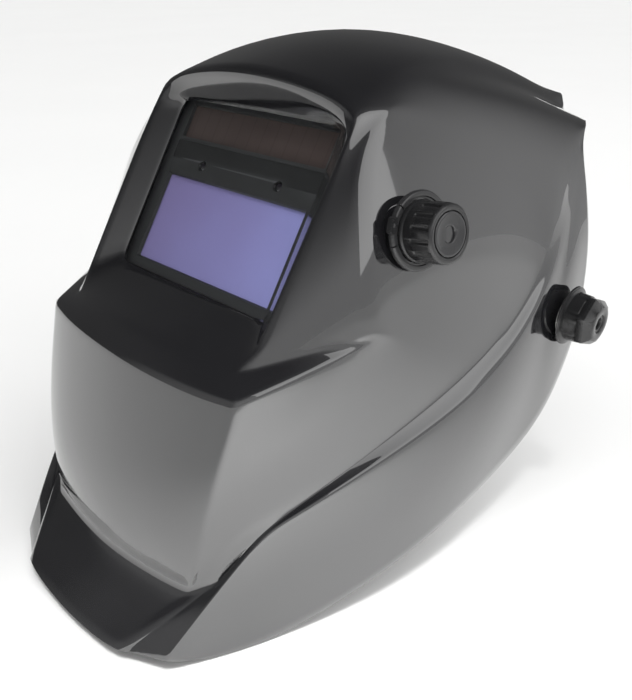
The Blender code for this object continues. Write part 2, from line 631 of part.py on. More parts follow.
TAIL_RADIUS = 80.7
TAIL_THICK = 1.6
TEETH = 12


def make_tail(nape_frame, side, name):
    """A rack tail: a wide tongue, then a toothed edge that the pinion drives."""
    wide = list(np.linspace(40, 64, 7))
    angles = wide + [64.4]
    lows = [-8.5] * 7
    highs = [8.5] * 7
    base, tip, top = 5.4, 4.6, 8.5
    lows.append(base if side > 0 else -top)
    highs.append(top if side > 0 else -base)
    pitch = (100 - 66) / TEETH
    for tooth in range(TEETH):
        for part, edge in ((0.0, base), (0.3, tip), (0.5, tip), (0.8, base)):
            angles.append(66 + (tooth + part) * pitch)
            lows.append(edge if side > 0 else -top)
            highs.append(top if side > 0 else -edge)
    path = []
    for angle in angles:
        turn = math.radians(angle)
        path.append(Vector((side * TAIL_RADIUS * math.cos(turn), NAPE_CENTRE + TAIL_RADIUS * math.sin(turn), 0)))
    centre = Vector((0, NAPE_CENTRE, 0))
    normals = [(point - centre).normalized() for point in path]
    hub = frame("tail_%s_frame" % name, nape_frame, (0, NAPE_CENTRE, 0))
    path = [point - centre for point in path]
    piece("rack_tail_" + name, strip(path, normals, TAIL_THICK, lows, highs), hub, STRAP_BLACK)


def curved_box(first, last, inner, outer, low, high, count=8):
    """A box bent round the nape arc's centre, as a strip with its thickness along the radius."""
    middle = (inner + outer) / 2
    path = nape_arc(1, middle, first, last, count)
    centre = Vector((0, NAPE_CENTRE, 0))
    return strip(path, [(p - centre).normalized() for p in path], outer - inner, low, high)


def make_ratchet(nape_frame):
    back_axis = frame("ratchet_frame", nape_frame, (0, NAPE_CENTRE, 0), (-90, 0, 0))
    split = TAIL_RADIUS + 1.4
    inner = piece("ratchet_inner_case", curved_box(66, 114, 77.0, split, -17, 17), nape_frame, BLACK_SATIN)
    cut(inner, [piece("inner_channel", curved_box(60, 120, TAIL_RADIUS - 1.3, split + 3, -9.2, 9.2),
                      nape_frame, STEEL)])
    outer = piece("ratchet_outer_case", curved_box(66, 114, split + GAP, 86.6, -17, 17), nape_frame, BLACK_SATIN)
    cut(outer, [piece("spindle_hole", rod(70, 100, 5.6, 24), back_axis, STEEL)])
    teeth = lobes(4.2, 0.9, 10)
    piece("ratchet_pinion", turned([(79.7, teeth), (82.0, teeth), (82.2, 3.2), (90.5, 3.2)], 30), back_axis, STEEL)
    grip = lobes(RATCHET_RADIUS, 1.1, 12)
    top = RATCHET_FACE - NAPE_CENTRE
    piece("ratchet_knob", turned([
        (top - 3.5, 3.5), (top - 14.6, 3.5), (top - 14.6, 16.0), (top - 12.6, grip), (top - 1.8, grip),
        (top, 17.2), (top, 13.0), (top - 1.2, 11.5), (top - 1.2, 5.0)], 36), back_axis, BLACK_SATIN)
    pad = curved_box(64, 116, 70.5, 76.4, -21, 21)
    piece("nape_pad", pad, nape_frame, CLOTH_BLACK, sharp_angle=60)


def strap_path(lean, radius, first, last, count):
    """Over the head, in a plane through the pivots that leans by some degrees."""
    points = []
    ups = []
    turn = Matrix.Rotation(math.radians(-lean), 3, "X")
    for i in range(count + 1):
        angle = math.radians(first + (last - first) * i / count)
        x, z = super_arc(angle, BAND_X, radius)
        points.append(turn @ Vector((x, 0, z)))
        ups.append(turn @ Vector((0, 1, 0)))
    return points, ups


def make_crown_straps(head_frame):
    for label, lean, radius in (("front", -STRAP_LEAN, 98.0), ("rear", STRAP_LEAN, 101.0)):
        for side, name in ((1, "left"), (-1, "right")):
            lift = 0.0 if side > 0 else 1.9
            points, ups = strap_path(lean, radius + lift, 12, 101, 15)
            if side < 0:
                points = [Vector((-p.x, p.y, p.z)) for p in points]
            strap = piece("crown_strap_%s_%s" % (label, name),
                          strip(points, path_normals(points, ups), 1.5, -8.5, 8.5, ups), head_frame, STRAP_BLACK)
            stud = piece("strap_stud_" + name, rod(79.6, 87.6, STUD_RADIUS, 12), stud_frame(head_frame, side, lean),
                         STRAP_BLACK)
            cut(strap, [stud], "UNION")
        peg_frame = frame("peg_frame_" + label, head_frame, (0, 0, 0), (-lean, 0, 0))
        piece("crown_peg_" + label, rod(radius + 3.1, radius + 5.0, 4.5, 16, 0.5), peg_frame, STRAP_BLACK)


# ---------------------------------------------------------------- standing it on the table
def low_and_middle(objects):
    """The lowest height and the middle of the depth of the evaluated objects, in metres."""
    graph = bpy.context.evaluated_depsgraph_get()
    heights = []
    depths = []
    for obj in objects:
        solid = obj.evaluated_get(graph)
        for corner in solid.data.vertices:
            point = solid.matrix_world @ corner.co
            heights.append(point.z)
            depths.append(point.y)
    return min(heights), (min(depths) + max(depths)) / 2


def main():
    clear_scene()
    table = frame("helmet")
    shell_frame = frame("shell_frame", table, rotation=(-WINDOW_RECLINE, 0, 0))
    shell = make_shell(shell_frame)
    back = make_cartridge(shell_frame)
    make_lens_and_holder(shell_frame, back)
    make_shade_control(shell_frame)
    make_lead(shell_frame)
    bpy.context.view_layer.update()

    # The headgear hangs back from the pivots until the ratchet knob's rim meets the table.
    floor = low_and_middle([shell])[0]
    pivot = shell_frame.matrix_world @ Vector((0, PIVOT_Y * MM, PIVOT_Z * MM))
    reach = math.hypot(RATCHET_FACE - 1.8, RATCHET_RADIUS)
    corner = math.degrees(math.atan2(RATCHET_RADIUS, RATCHET_FACE - 1.8))
    slope = math.degrees(math.asin((pivot.z - floor) / MM / reach)) - corner
    head_frame = frame("head_frame", table, pivot / MM, (NAPE_SLOPE - slope, 0, 0))
    nape_frame = frame("nape_frame", head_frame, rotation=(-NAPE_SLOPE, 0, 0))
    for side, name in ((1, "left"), (-1, "right")):
        make_pivot(head_frame, side, name)
    make_bands(head_frame, nape_frame)
    make_ratchet(nape_frame)
    make_crown_straps(head_frame)

    bpy.context.view_layer.update()
    solids = [obj for obj in bpy.data.objects if obj.type == "MESH" and not obj.hide_render]
    lowest, middle = low_and_middle(solids)
    table.location = (0, -middle, -lowest)
    bpy.context.view_layer.update()


main()
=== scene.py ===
"""The looks of the auto-darkening welding helmet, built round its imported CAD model.

Everything is in metres in the CAD's own frame: the helmet rests on a table at z = 0, its front
faces -Y and the wearer's left is +X. Piece sizes are millimetres in one of three local frames,
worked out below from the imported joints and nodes:
  SHELL  X left, Y back from the filter's face, Z up the window
  HEAD   origin on the pivot axis, X left, Y back, Z to the crown
  NAPE   as HEAD, but sloping down towards the nape
"""

import json
import math

import bmesh
import bpy
import numpy as np
from mathutils import Matrix, Vector, noise


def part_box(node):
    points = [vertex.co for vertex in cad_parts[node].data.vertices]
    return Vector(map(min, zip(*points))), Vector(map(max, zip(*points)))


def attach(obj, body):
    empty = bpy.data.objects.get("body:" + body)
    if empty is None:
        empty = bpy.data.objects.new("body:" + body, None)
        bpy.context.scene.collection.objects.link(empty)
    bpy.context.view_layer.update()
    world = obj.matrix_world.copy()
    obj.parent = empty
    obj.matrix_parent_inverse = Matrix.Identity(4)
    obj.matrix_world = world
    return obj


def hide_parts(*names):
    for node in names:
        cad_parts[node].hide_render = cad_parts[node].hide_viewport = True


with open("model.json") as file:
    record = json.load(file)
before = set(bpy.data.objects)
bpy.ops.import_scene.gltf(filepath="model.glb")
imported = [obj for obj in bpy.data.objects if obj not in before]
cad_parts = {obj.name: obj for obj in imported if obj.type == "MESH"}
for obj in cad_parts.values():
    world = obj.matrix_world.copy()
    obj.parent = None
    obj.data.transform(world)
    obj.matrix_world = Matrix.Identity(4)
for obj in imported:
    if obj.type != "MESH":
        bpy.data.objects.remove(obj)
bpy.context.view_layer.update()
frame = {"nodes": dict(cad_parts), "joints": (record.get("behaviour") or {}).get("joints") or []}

MM = 0.001
NODES = frame["nodes"]
JOINTS = {joint["name"]: joint for joint in frame["joints"]}

# ---------------------------------------------------------------- sizes shared with the CAD
WINDOW_RECLINE = 33.3
NAPE_SLOPE = 30.0
SHELL_WALL = 2.2
PANE_MIDDLE = 2.9              # depth of the violet glass's middle behind the filter's face
PIVOT_Y = 140.0
PIVOT_Z = 33.0
PIVOT_FACE = 113.4
PIVOT_HOLE = 5.2
CARTRIDGE = (110.0, 90.0)
CARTRIDGE_Z = 18.0
CARTRIDGE_Y = 0.5
LCD_PANE = (92.0, 42.0)
SOLAR_PANE = (94.8, 15.5)
SOLAR_Z = 49.25
SENSOR_X = 26.0
SENSOR_Z = 29.0
CELL_X = -38.0
SHADE_SEAT = (88.0, 21.0, 30.5)
SHADE_AXIS = (0.976, -0.202, 0.082)
SEAT_LIFT = 0.6
BAND_X = 82.9
BROW_Y = 101.0
NAPE_CENTRE = 26.0
RATCHET_FACE = 128.0
RATCHET_RADIUS = 20.0
TAIL_RADIUS = 80.7
STRAP_LEAN = 24.0
STUD_HEIGHT = 32.0
STUD_RADIUS = 2.3
STUD_BACK = STUD_HEIGHT * math.tan(math.radians(STRAP_LEAN))


def middle(node):
    low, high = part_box(node)
    return (low + high) / 2


def about_x(degrees):
    return Matrix.Rotation(math.radians(degrees), 3, "X")


def placed(origin, turn):
    """A frame for sizes in mm: its origin in metres and its 3x3 turn."""
    return Matrix.Translation(origin) @ turn.to_4x4() @ Matrix.Scale(MM, 4)


recline = about_x(-WINDOW_RECLINE)
SHELL = placed(middle("uv_ir_glass") - recline @ Vector((0, PANE_MIDDLE * MM, 0)), recline)
nape_back = Vector(JOINTS["ratchet_turn"]["axis"])
nape_turn = Matrix((Vector((1, 0, 0)), nape_back, Vector((1, 0, 0)).cross(nape_back))).transposed()
pivot = Vector(JOINTS["visor_flip"]["pos_m"])
NAPE = placed(pivot, nape_turn)
HEAD = placed(pivot, about_x(NAPE_SLOPE) @ nape_turn)


def along(place, origin, direction):
    """A frame inside another, its Z axis along direction."""
    turn = Vector((0, 0, 1)).rotation_difference(Vector(direction)).to_matrix().to_4x4()
    return place @ Matrix.Translation(Vector(origin)) @ turn


def turned_about(place, origin, degrees, axis):
    return place @ Matrix.Translation(Vector(origin)) @ Matrix.Rotation(math.radians(degrees), 4, axis)


# ---------------------------------------------------------------- materials
class Skin:
    """A material under construction: a Principled shader and the nodes that feed it."""

    def __init__(self, name, roughness=0.4, metallic=0.0, **constants):
        self.material = bpy.data.materials.new(name)
        self.material.use_nodes = True
        self.tree = self.material.node_tree
        self.shader = self.tree.nodes["Principled BSDF"]
        self.shader.inputs["Roughness"].default_value = roughness
        self.shader.inputs["Metallic"].default_value = metallic
        for socket, value in constants.items():
            self.shader.inputs[socket.replace("_", " ")].default_value = value
        self.place = self.node("ShaderNodeTexCoord").outputs["Object"]
        self.normal = None

    def node(self, kind, **settings):
        made = self.tree.nodes.new(kind)
        for name, value in settings.items():
            setattr(made, name, value)
        return made

    def feed(self, node, socket, value):
        if isinstance(value, bpy.types.NodeSocket):
            self.tree.links.new(value, node.inputs[socket])
        else:
            node.inputs[socket].default_value = value

    def stretched(self, scale, turn=(0, 0, 0)):
        """The object's own coordinates, stretched per axis."""
        mapping = self.node("ShaderNodeMapping")
        self.feed(mapping, "Vector", self.place)
        self.feed(mapping, "Scale", scale)
        self.feed(mapping, "Rotation", [math.radians(angle) for angle in turn])
        return mapping.outputs["Vector"]

    def noise(self, scale, detail=2.0, roughness=0.5, where=None):
        made = self.node("ShaderNodeTexNoise")
        self.feed(made, "Vector", where or self.place)
        self.feed(made, "Scale", scale)
        self.feed(made, "Detail", detail)
        self.feed(made, "Roughness", roughness)
        return made.outputs["Fac"]

    def cells(self, scale, feature="F1", where=None):
        made = self.node("ShaderNodeTexVoronoi", feature=feature)
        self.feed(made, "Vector", where or self.place)
        self.feed(made, "Scale", scale)
        return made.outputs["Distance"]

    def waves(self, scale, direction="X", distortion=0.0, where=None):
        made = self.node("ShaderNodeTexWave", bands_direction=direction)
        self.feed(made, "Vector", where or self.place)
        self.feed(made, "Scale", scale)
        self.feed(made, "Distortion", distortion)
        return made.outputs["Fac"]

    def span(self, value, low, high, to_low, to_high):
        """A value rescaled and clamped between two ranges."""
        made = self.node("ShaderNodeMapRange")
        self.feed(made, "Value", value)
        for socket, number in zip(("From Min", "From Max", "To Min", "To Max"), (low, high, to_low, to_high)):
            self.feed(made, socket, number)
        return made.outputs["Result"]

    def blend(self, factor, first, second):
        """Two colours mixed by a factor."""
        made = self.node("ShaderNodeMix", data_type="RGBA")
        for socket, value in ((0, factor), (6, first), (7, second)):
            if isinstance(value, bpy.types.NodeSocket):
                self.tree.links.new(value, made.inputs[socket])
            else:
                made.inputs[socket].default_value = (*value, 1.0)
        return made.outputs[2]

    def sum(self, first, second, operation="ADD"):
        made = self.node("ShaderNodeMath", operation=operation)
        self.feed(made, 0, first)
        self.feed(made, 1, second)
        return made.outputs[0]

    def bump(self, height, strength, depth_mm):
        made = self.node("ShaderNodeBump")
        self.feed(made, "Height", height)
        self.feed(made, "Strength", strength)
        self.feed(made, "Distance", depth_mm * MM)
        if self.normal:
            self.feed(made, "Normal", self.normal)
        self.normal = made.outputs["Normal"]
        self.feed(self.shader, "Normal", self.normal)

    def colour(self, value):
        self.feed(self.shader, "Base Color", value)

    def rough(self, value):
        self.feed(self.shader, "Roughness", value)

    def worn_edges(self, low=0.515, high=0.58):
        """How exposed an edge is, from 0 on flats to 1 on sharp outer edges."""
        pointed = self.node("ShaderNodeNewGeometry").outputs["Pointiness"]
        return self.span(pointed, low, high, 0.0, 1.0)


def gloss_black(name="gloss_black_nylon", colour=(0.009, 0.009, 0.010), coat=1.0):
    """High-gloss moulded shell: faint orange peel, hairline scratches and a film of dust."""
    skin = Skin(name, Coat_Weight=coat, Coat_Roughness=0.025, Coat_IOR=1.75, IOR=1.52)
    cloud = skin.noise(22, 3)
    skin.colour(skin.blend(cloud, colour, [c * 1.7 for c in colour]))
    hair = skin.noise(30, 4, 0.6, skin.stretched((4, 40, 4), (10, 25, 40)))
    hairlines = skin.span(hair, 0.60, 0.66, 0.0, 0.10)
    film = skin.span(cloud, 0.35, 0.75, 0.05, 0.13)
    skin.rough(skin.sum(film, hairlines))
    skin.bump(skin.noise(160, 1), 0.035, 0.25)
    skin.bump(skin.noise(900, 2), 0.02, 0.05)
    return skin.material


def satin_black(name, colour=(0.017, 0.017, 0.018), roughness=0.36, grain=2600, depth=0.04, wear=0.35):
    """Satin moulded nylon: fine spark-erosion grain and slightly polished edges."""
    skin = Skin(name, IOR=1.5)
    fine = skin.noise(grain, 3, 0.6)
    broad = skin.noise(60, 3)
    edge = skin.worn_edges()
    base = skin.blend(broad, colour, [c * 1.45 for c in colour])
    skin.colour(skin.blend(skin.sum(edge, wear, "MULTIPLY"), base, (0.07, 0.07, 0.072)))
    rough = skin.sum(skin.span(broad, 0.3, 0.7, roughness - 0.06, roughness + 0.06),
                     skin.span(fine, 0.3, 0.7, -0.05, 0.05))
    skin.rough(skin.sum(rough, skin.sum(edge, 0.12, "MULTIPLY"), "SUBTRACT"))
    skin.bump(fine, 0.35, depth)
    return skin.material


def pebbled_strap(name="pebbled_polyethylene", colour=(0.024, 0.024, 0.025)):
    """Headgear polyethylene: a pebbled leather texture worn smooth on the edges."""
    skin = Skin(name, IOR=1.5)
    pebbles = skin.cells(1500, "SMOOTH_F1")
    broad = skin.noise(45, 3)
    edge = skin.worn_edges()
    skin.colour(skin.blend(skin.sum(edge, 0.5, "MULTIPLY"),
                           skin.blend(broad, colour, [c * 1.5 for c in colour]), (0.085, 0.085, 0.088)))
    skin.rough(skin.sum(skin.span(broad, 0.3, 0.7, 0.42, 0.55), skin.sum(edge, 0.15, "MULTIPLY"), "SUBTRACT"))
    skin.bump(pebbles, 0.45, 0.12)
    skin.bump(skin.noise(3500, 2), 0.2, 0.02)
    return skin.material


def filter_case():
    """The cartridge's matte dark grey case, with a dense spark-eroded grain."""
    skin = Skin("filter_case_matte", IOR=1.48)
    fine = skin.noise(3000, 4, 0.65)
    broad = skin.noise(35, 2)
    base = skin.blend(broad, (0.018, 0.018, 0.0185), (0.028, 0.028, 0.029))
    edge = skin.worn_edges(0.51, 0.56)
    skin.colour(skin.blend(skin.sum(edge, 0.8, "MULTIPLY"), base, (0.11, 0.11, 0.115)))
    skin.rough(skin.span(fine, 0.3, 0.7, 0.42, 0.62))
    skin.bump(fine, 0.5, 0.03)
    return skin.material


def violet_glass():
    """The filter's interference-coated front glass: violet, turning bluer to one side."""
    skin = Skin("violet_interference_glass", Coat_Weight=1.0, Coat_Roughness=0.02, IOR=1.6)
    ramp = skin.node("ShaderNodeSeparateXYZ")
    skin.feed(ramp, "Vector", skin.place)
    half = LCD_PANE[0] / 2 * MM
    across = skin.span(ramp.outputs["X"], -half, half, 0.0, 0.8)
    cloud = skin.span(skin.noise(14, 2), 0.3, 0.7, -0.12, 0.2)
    skin.colour(skin.blend(skin.sum(across, cloud), (0.31, 0.25, 0.53), (0.39, 0.39, 0.80)))
    skin.rough(skin.span(skin.noise(80, 4), 0.3, 0.7, 0.05, 0.12))
    skin.bump(skin.noise(30, 1), 0.02, 0.3)
    return skin.material


SOLAR_CELLS = 39.0             # wave scale for cells about 8 mm wide


def solar_strip():
    """Amorphous silicon under glass: dark brown, with hairline divisions between its cells."""
    skin = Skin("solar_brown", Coat_Weight=0.6, Coat_Roughness=0.04, IOR=1.5)
    lines = skin.span(skin.waves(SOLAR_CELLS, "X"), 0.988, 0.999, 0.0, 1.0)
    cloud = skin.noise(40, 3)
    skin.colour(skin.blend(skin.sum(lines, 0.3, "MULTIPLY"),
                           skin.blend(cloud, (0.085, 0.060, 0.056), (0.110, 0.080, 0.074)), (0.03, 0.022, 0.02)))
    skin.rough(skin.span(cloud, 0.3, 0.7, 0.12, 0.22))
    skin.bump(skin.noise(1200, 2), 0.08, 0.02)
    return skin.material


def clear_lens(name="clear_polycarbonate"):
    """A thin hard-coated cover plate: see-through, with a gloss that grows at grazing angles."""
    skin = Skin(name)
    nodes = skin.tree.nodes
    nodes.remove(skin.shader)
    clear = skin.node("ShaderNodeBsdfTransparent")
    skin.feed(clear, "Color", (0.96, 0.97, 0.97, 1.0))
    gloss = skin.node("ShaderNodeBsdfGlossy")
    hair = skin.span(skin.noise(40, 4, 0.6, skin.stretched((50, 4, 6), (0, 35, 0))), 0.62, 0.68, 0.0, 0.12)
    skin.feed(gloss, "Roughness", skin.sum(skin.span(skin.noise(25, 3), 0.3, 0.7, 0.02, 0.06), hair))
    mixed = skin.node("ShaderNodeMixShader")
    grazing = skin.sum(skin.node("ShaderNodeLayerWeight").outputs["Facing"], 5.0, "POWER")
    skin.feed(mixed, 0, skin.span(grazing, 0.0, 1.0, 0.04, 0.9))
    skin.tree.links.new(clear.outputs[0], mixed.inputs[1])
    skin.tree.links.new(gloss.outputs[0], mixed.inputs[2])
    skin.tree.links.new(mixed.outputs[0], nodes["Material Output"].inputs["Surface"])
    return skin.material


def steel(name="zinc_plated_steel", tint=(0.62, 0.62, 0.60)):
    skin = Skin(name, metallic=1.0)
    spangle = skin.cells(420)
    fine = skin.noise(1800, 3)
    skin.colour(skin.blend(spangle, tint, [c * 0.78 for c in tint]))
    skin.rough(skin.sum(skin.span(fine, 0.3, 0.7, 0.2, 0.38), skin.sum(spangle, 0.1, "MULTIPLY")))
    skin.bump(fine, 0.15, 0.02)
    return skin.material


def towelling():
    """Black terry cloth: small loops, a fuzzy sheen and lint."""
    skin = Skin("black_towelling", roughness=0.95, Sheen_Weight=0.35, Sheen_Roughness=0.6)
    loops = skin.cells(1150)
    fuzz = skin.noise(5200, 3, 0.7)
    broad = skin.noise(70, 4)
    shade = skin.sum(skin.span(loops, 0.0, 0.7, 0.0, 0.6), skin.span(broad, 0.3, 0.7, 0.0, 0.4))
    skin.colour(skin.blend(shade, (0.034, 0.034, 0.037), (0.010, 0.010, 0.011)))
    skin.rough(skin.span(fuzz, 0.3, 0.7, 0.86, 1.0))
    skin.bump(loops, 0.9, 0.5)
    skin.bump(fuzz, 0.5, 0.1)
    return skin.material


def thread():
    skin = Skin("grey_thread", roughness=0.8, Sheen_Weight=0.3)
    twist = skin.waves(900, "DIAGONAL", 1.0)
    skin.colour(skin.blend(twist, (0.05, 0.05, 0.053), (0.12, 0.12, 0.125)))
    skin.bump(twist, 0.5, 0.05)
    return skin.material


def rubber_lead():
    skin = Skin("lead_pvc", IOR=1.5)
    cloud = skin.noise(300, 3)
    skin.colour(skin.blend(cloud, (0.010, 0.010, 0.011), (0.022, 0.022, 0.023)))
    skin.rough(skin.span(cloud, 0.3, 0.7, 0.3, 0.48))
    skin.bump(skin.noise(2600, 2), 0.15, 0.03)
    return skin.material


def board():
    skin = Skin("solder_mask_green", Coat_Weight=0.4, IOR=1.5)
    tracks = skin.cells(320, "DISTANCE_TO_EDGE")
    copper = skin.span(tracks, 0.05, 0.09, 1.0, 0.0)
    skin.colour(skin.blend(copper, (0.012, 0.085, 0.030), (0.030, 0.17, 0.062)))
    skin.rough(skin.span(skin.noise(400, 2), 0.3, 0.7, 0.3, 0.45))
    skin.bump(copper, 0.3, 0.05)
    return skin.material


def pale_floor():
    skin = Skin("pale_floor", Specular_IOR_Level=0.05)
    cloud = skin.noise(3, 4)
    skin.colour(skin.blend(cloud, (0.82, 0.82, 0.815), (0.85, 0.85, 0.845)))
    skin.rough(skin.span(skin.noise(40, 3), 0.3, 0.7, 0.55, 0.7))
    return skin.material


def white_marking():
    """Pad-printed ink of the dial figures."""
    skin = Skin("printed_white", roughness=0.55)
    speckle = skin.noise(4000, 3)
    skin.colour(skin.blend(speckle, (0.46, 0.46, 0.45), (0.66, 0.66, 0.64)))
    skin.bump(speckle, 0.2, 0.02)
    return skin.material


# ---------------------------------------------------------------- making pieces
def piece(name, bm, place, skin, body, stands_for=(), sharp_angle=35, bevel=0.0, smooth=0):
    """Turn a bmesh in a local frame's mm into a finished piece that rides on a CAD body."""
    bmesh.ops.recalc_face_normals(bm, faces=bm.faces)
    bmesh.ops.transform(bm, matrix=place, verts=bm.verts)
    if place.determinant() < 0:
        bmesh.ops.reverse_faces(bm, faces=bm.faces)
    mesh = bpy.data.meshes.new(name)
    bm.to_mesh(mesh)
    bm.free()
    mesh.shade_smooth()
    obj = bpy.data.objects.new(name, mesh)
    bpy.context.scene.collection.objects.link(obj)
    for material in skin if isinstance(skin, list) else [skin]:
        mesh.materials.append(material)
    if smooth:
        surface = obj.modifiers.new("surface", "SUBSURF")
        surface.levels = smooth
        surface.render_levels = smooth
    elif not bevel:
        mesh.set_sharp_from_angle(angle=math.radians(sharp_angle))
    if bevel:
        rounded = obj.modifiers.new("rounded", "BEVEL")
        rounded.width = bevel * MM
        rounded.segments = 3
        rounded.limit_method = "ANGLE"
        rounded.angle_limit = math.radians(sharp_angle)
        rounded.harden_normals = True
    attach(obj, body)
    if stands_for:
        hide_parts(*stands_for)
    return obj


def cut(target, cutters, operation="DIFFERENCE"):
    """Booleans that run before the target's bevel."""
    for cutter in cutters:
        cutter.hide_render = True
        cutter.hide_viewport = True
        modifier = target.modifiers.new(cutter.name, "BOOLEAN")
        modifier.operation = operation
        modifier.solver = "EXACT"
        modifier.object = cutter
        last = len(target.modifiers) - 1
        first_bevel = [i for i, m in enumerate(target.modifiers) if m.type == "BEVEL"]
        if first_bevel:
            target.modifiers.move(last, first_bevel[0])


def guide(name, bm, place, body):
    """A cutter."""
    return piece(name, bm, place, SATIN, body)


def slab(low, high, corner=0.0, across=1, segments=5):
    """A box between two corners, its edges along one axis rounded."""
    bm = bmesh.new()
    bmesh.ops.create_cube(bm, size=1.0)
    low = Vector(low)
    high = Vector(high)
    size = high - low
    bmesh.ops.scale(bm, vec=size, verts=bm.verts)
    bmesh.ops.translate(bm, vec=(low + high) / 2, verts=bm.verts)
    if corner:
        edges = [e for e in bm.edges
                 if abs((e.verts[0].co - e.verts[1].co)[across]) > size[across] * 0.5]
        bmesh.ops.bevel(bm, geom=edges, offset=corner, segments=segments, profile=0.5, affect="EDGES")
    return bm


def turned(rings, count=96, closed=False):
    """A solid about Z from (height, radius) rings; a radius may be a function of the angle."""
    bm = bmesh.new()
    loops = []
    for height, radius in rings:
        loop = []
        for i in range(count):
            angle = 2 * math.pi * i / count
            r = radius(angle) if callable(radius) else radius
            loop.append(bm.verts.new((r * math.cos(angle), r * math.sin(angle), height)))
        loops.append(loop)
    pairs = list(zip(loops, loops[1:]))
    if closed:
        pairs.append((loops[-1], loops[0]))
    for lower, upper in pairs:
        for i in range(count):
            j = (i + 1) % count
            bm.faces.new((lower[i], lower[j], upper[j], upper[i]))
    if not closed:
        bm.faces.new(reversed(loops[0]))
        bm.faces.new(loops[-1])
    return bm


def joined(meshes):
    """Several bmeshes as one."""
    whole = meshes[0]
    for other in meshes[1:]:
        copy = bpy.data.meshes.new("copy")
        other.to_mesh(copy)
        whole.from_mesh(copy)
        bpy.data.meshes.remove(copy)
        other.free()
    return whole


def moved(bm, matrix):
    bmesh.ops.transform(bm, matrix=matrix, verts=bm.verts)
    return bm


def lobes(radius, depth, count, power=1.0):
    """A radius with count shallow flutes, for grips."""
    def at(angle):
        wave = 0.5 + 0.5 * math.cos(count * angle)
        return radius - depth * (1 - wave ** power)
    return at


# ---------------------------------------------------------------- shell
# Each line runs from the crown's rear edge (station 0) over the brow (4), the window (5-7), the
# crease under it (8), the ledge on top of the snout (9), the snout's foot (14) to the rim (15).
# A run gives (x, up, out) at some stations; a smooth curve joins the points of one run.
CENTRE = [
    {0: (0, 174, -186), 2: (0, 150.5, -95.5), 3: (0, 120, -21.5), 4: (0, 70.5, 22)},
    {5: (0, 59, 3), 7: (0, -27, 3)}, {8: (0, -52, 26.5)},
    {9: (0, -65, 27), 12: (0, -126.5, 6), 14: (0, -155, -8.5)}, {15: (0, -188, -0.5)}]
WINDOW_EDGE = [
    {0: (42, 165, -179), 2: (40.5, 141.5, -92.5), 3: (44, 111, -21.5), 4: (50, 66.5, 15)},
    {5: (52, 58, 3), 7: (52, -27, 3)}, {8: (45, -51, 19.5)},
    {9: (49, -62, 23), 12: (45.5, -124.5, 3), 14: (42, -151, -12.5)}, {15: (27, -186.2, -1)}]
FRAME_EDGE = [
    {0: (50, 153, -175), 2: (48.5, 127, -83.5), 3: (54.5, 98.5, -17), 4: (63, 62, 9.5)},
    {5: (63, 50, 10.5), 7: (62, -37, 12)}, {8: (59, -50, 14.5)},
    {9: (69, -58.5, 19), 12: (62, -120.5, -1), 14: (54, -149, -15)}, {15: (36, -184.4, -1.6)}]
CHEEK = [
    {0: (60, 148, -165), 2: (61, 118, -75), 3: (64, 91.5, -21), 4: (66, 74, -6)},
    {5: (68, 51, 8.5), 6: (79.5, 22.5, 3.5), 8: (91.5, -14, -17)}, {9: (93, -13.5, -24.5)},
    {10: (79, -70.5, -3.5), 12: (68, -109.5, -7), 14: (58.5, -145.5, -15.5)},
    {15: (39, -184, -2.3)}]
SIDE = [
    {0: (72, 142.7, -160), 2: (74.5, 112, -84), 3: (76.5, 99, -66)},
    {4: (79, 91.5, -57.5), 6: (91, 46.5, -41.5), 8: (96, 0, -49), 9: (97, -18.5, -44.5)},
    {10: (87.5, -62.5, -26.5), 12: (74.5, -103, -17), 13: (69, -116.5, -11.5), 14: (62, -142, -16.5)},
    {15: (41, -183.7, -3.2)}]
SWOOSH_TOP = [
    {0: (79, 135, -148), 1: (87.5, 113, -120.5), 3: (99, 78, -110), 6: (104, 29, -107.5),
     9: (100, -28.5, -72.5), 11: (87, -79.5, -36), 13: (75, -109, -18.5)},
    {14: (66, -136.5, -18)}, {15: (42.5, -183.2, -4.6)}]
SWOOSH_FOOT = [
    {0: (90, 114, -134), 3: (104, 67.5, -126), 6: (110, 23.5, -111.5), 9: (106, -34.5, -77),
     11: (90.5, -82, -35.5), 13: (76, -110.5, -19.5)},
    {14: (69, -140.5, -13.5)}, {15: (60, -177.5, -10.5)}]
LOBE = [
    {0: (108, 74.5, -146.5), 1: (111.5, 56.5, -135.5), 4: (113.5, 12, -131), 7: (113.5, -29.5, -109.5),
     10: (101.5, -90, -62.5), 13: (76, -140, -26.5), 15: (62.3, -176.8, -14.5)}]
RIM = [
    {0: (113, 32, -161.5), 3: (114.5, -14.5, -160.5), 6: (112, -55.5, -138), 9: (106, -103.5, -93.5),
     12: (81.5, -157.5, -52), 15: (64.5, -175.8, -19.5)}]
SWOOSH_GROOVE = 0.6            # the groove between the swoosh's two edges
STATIONS = 16


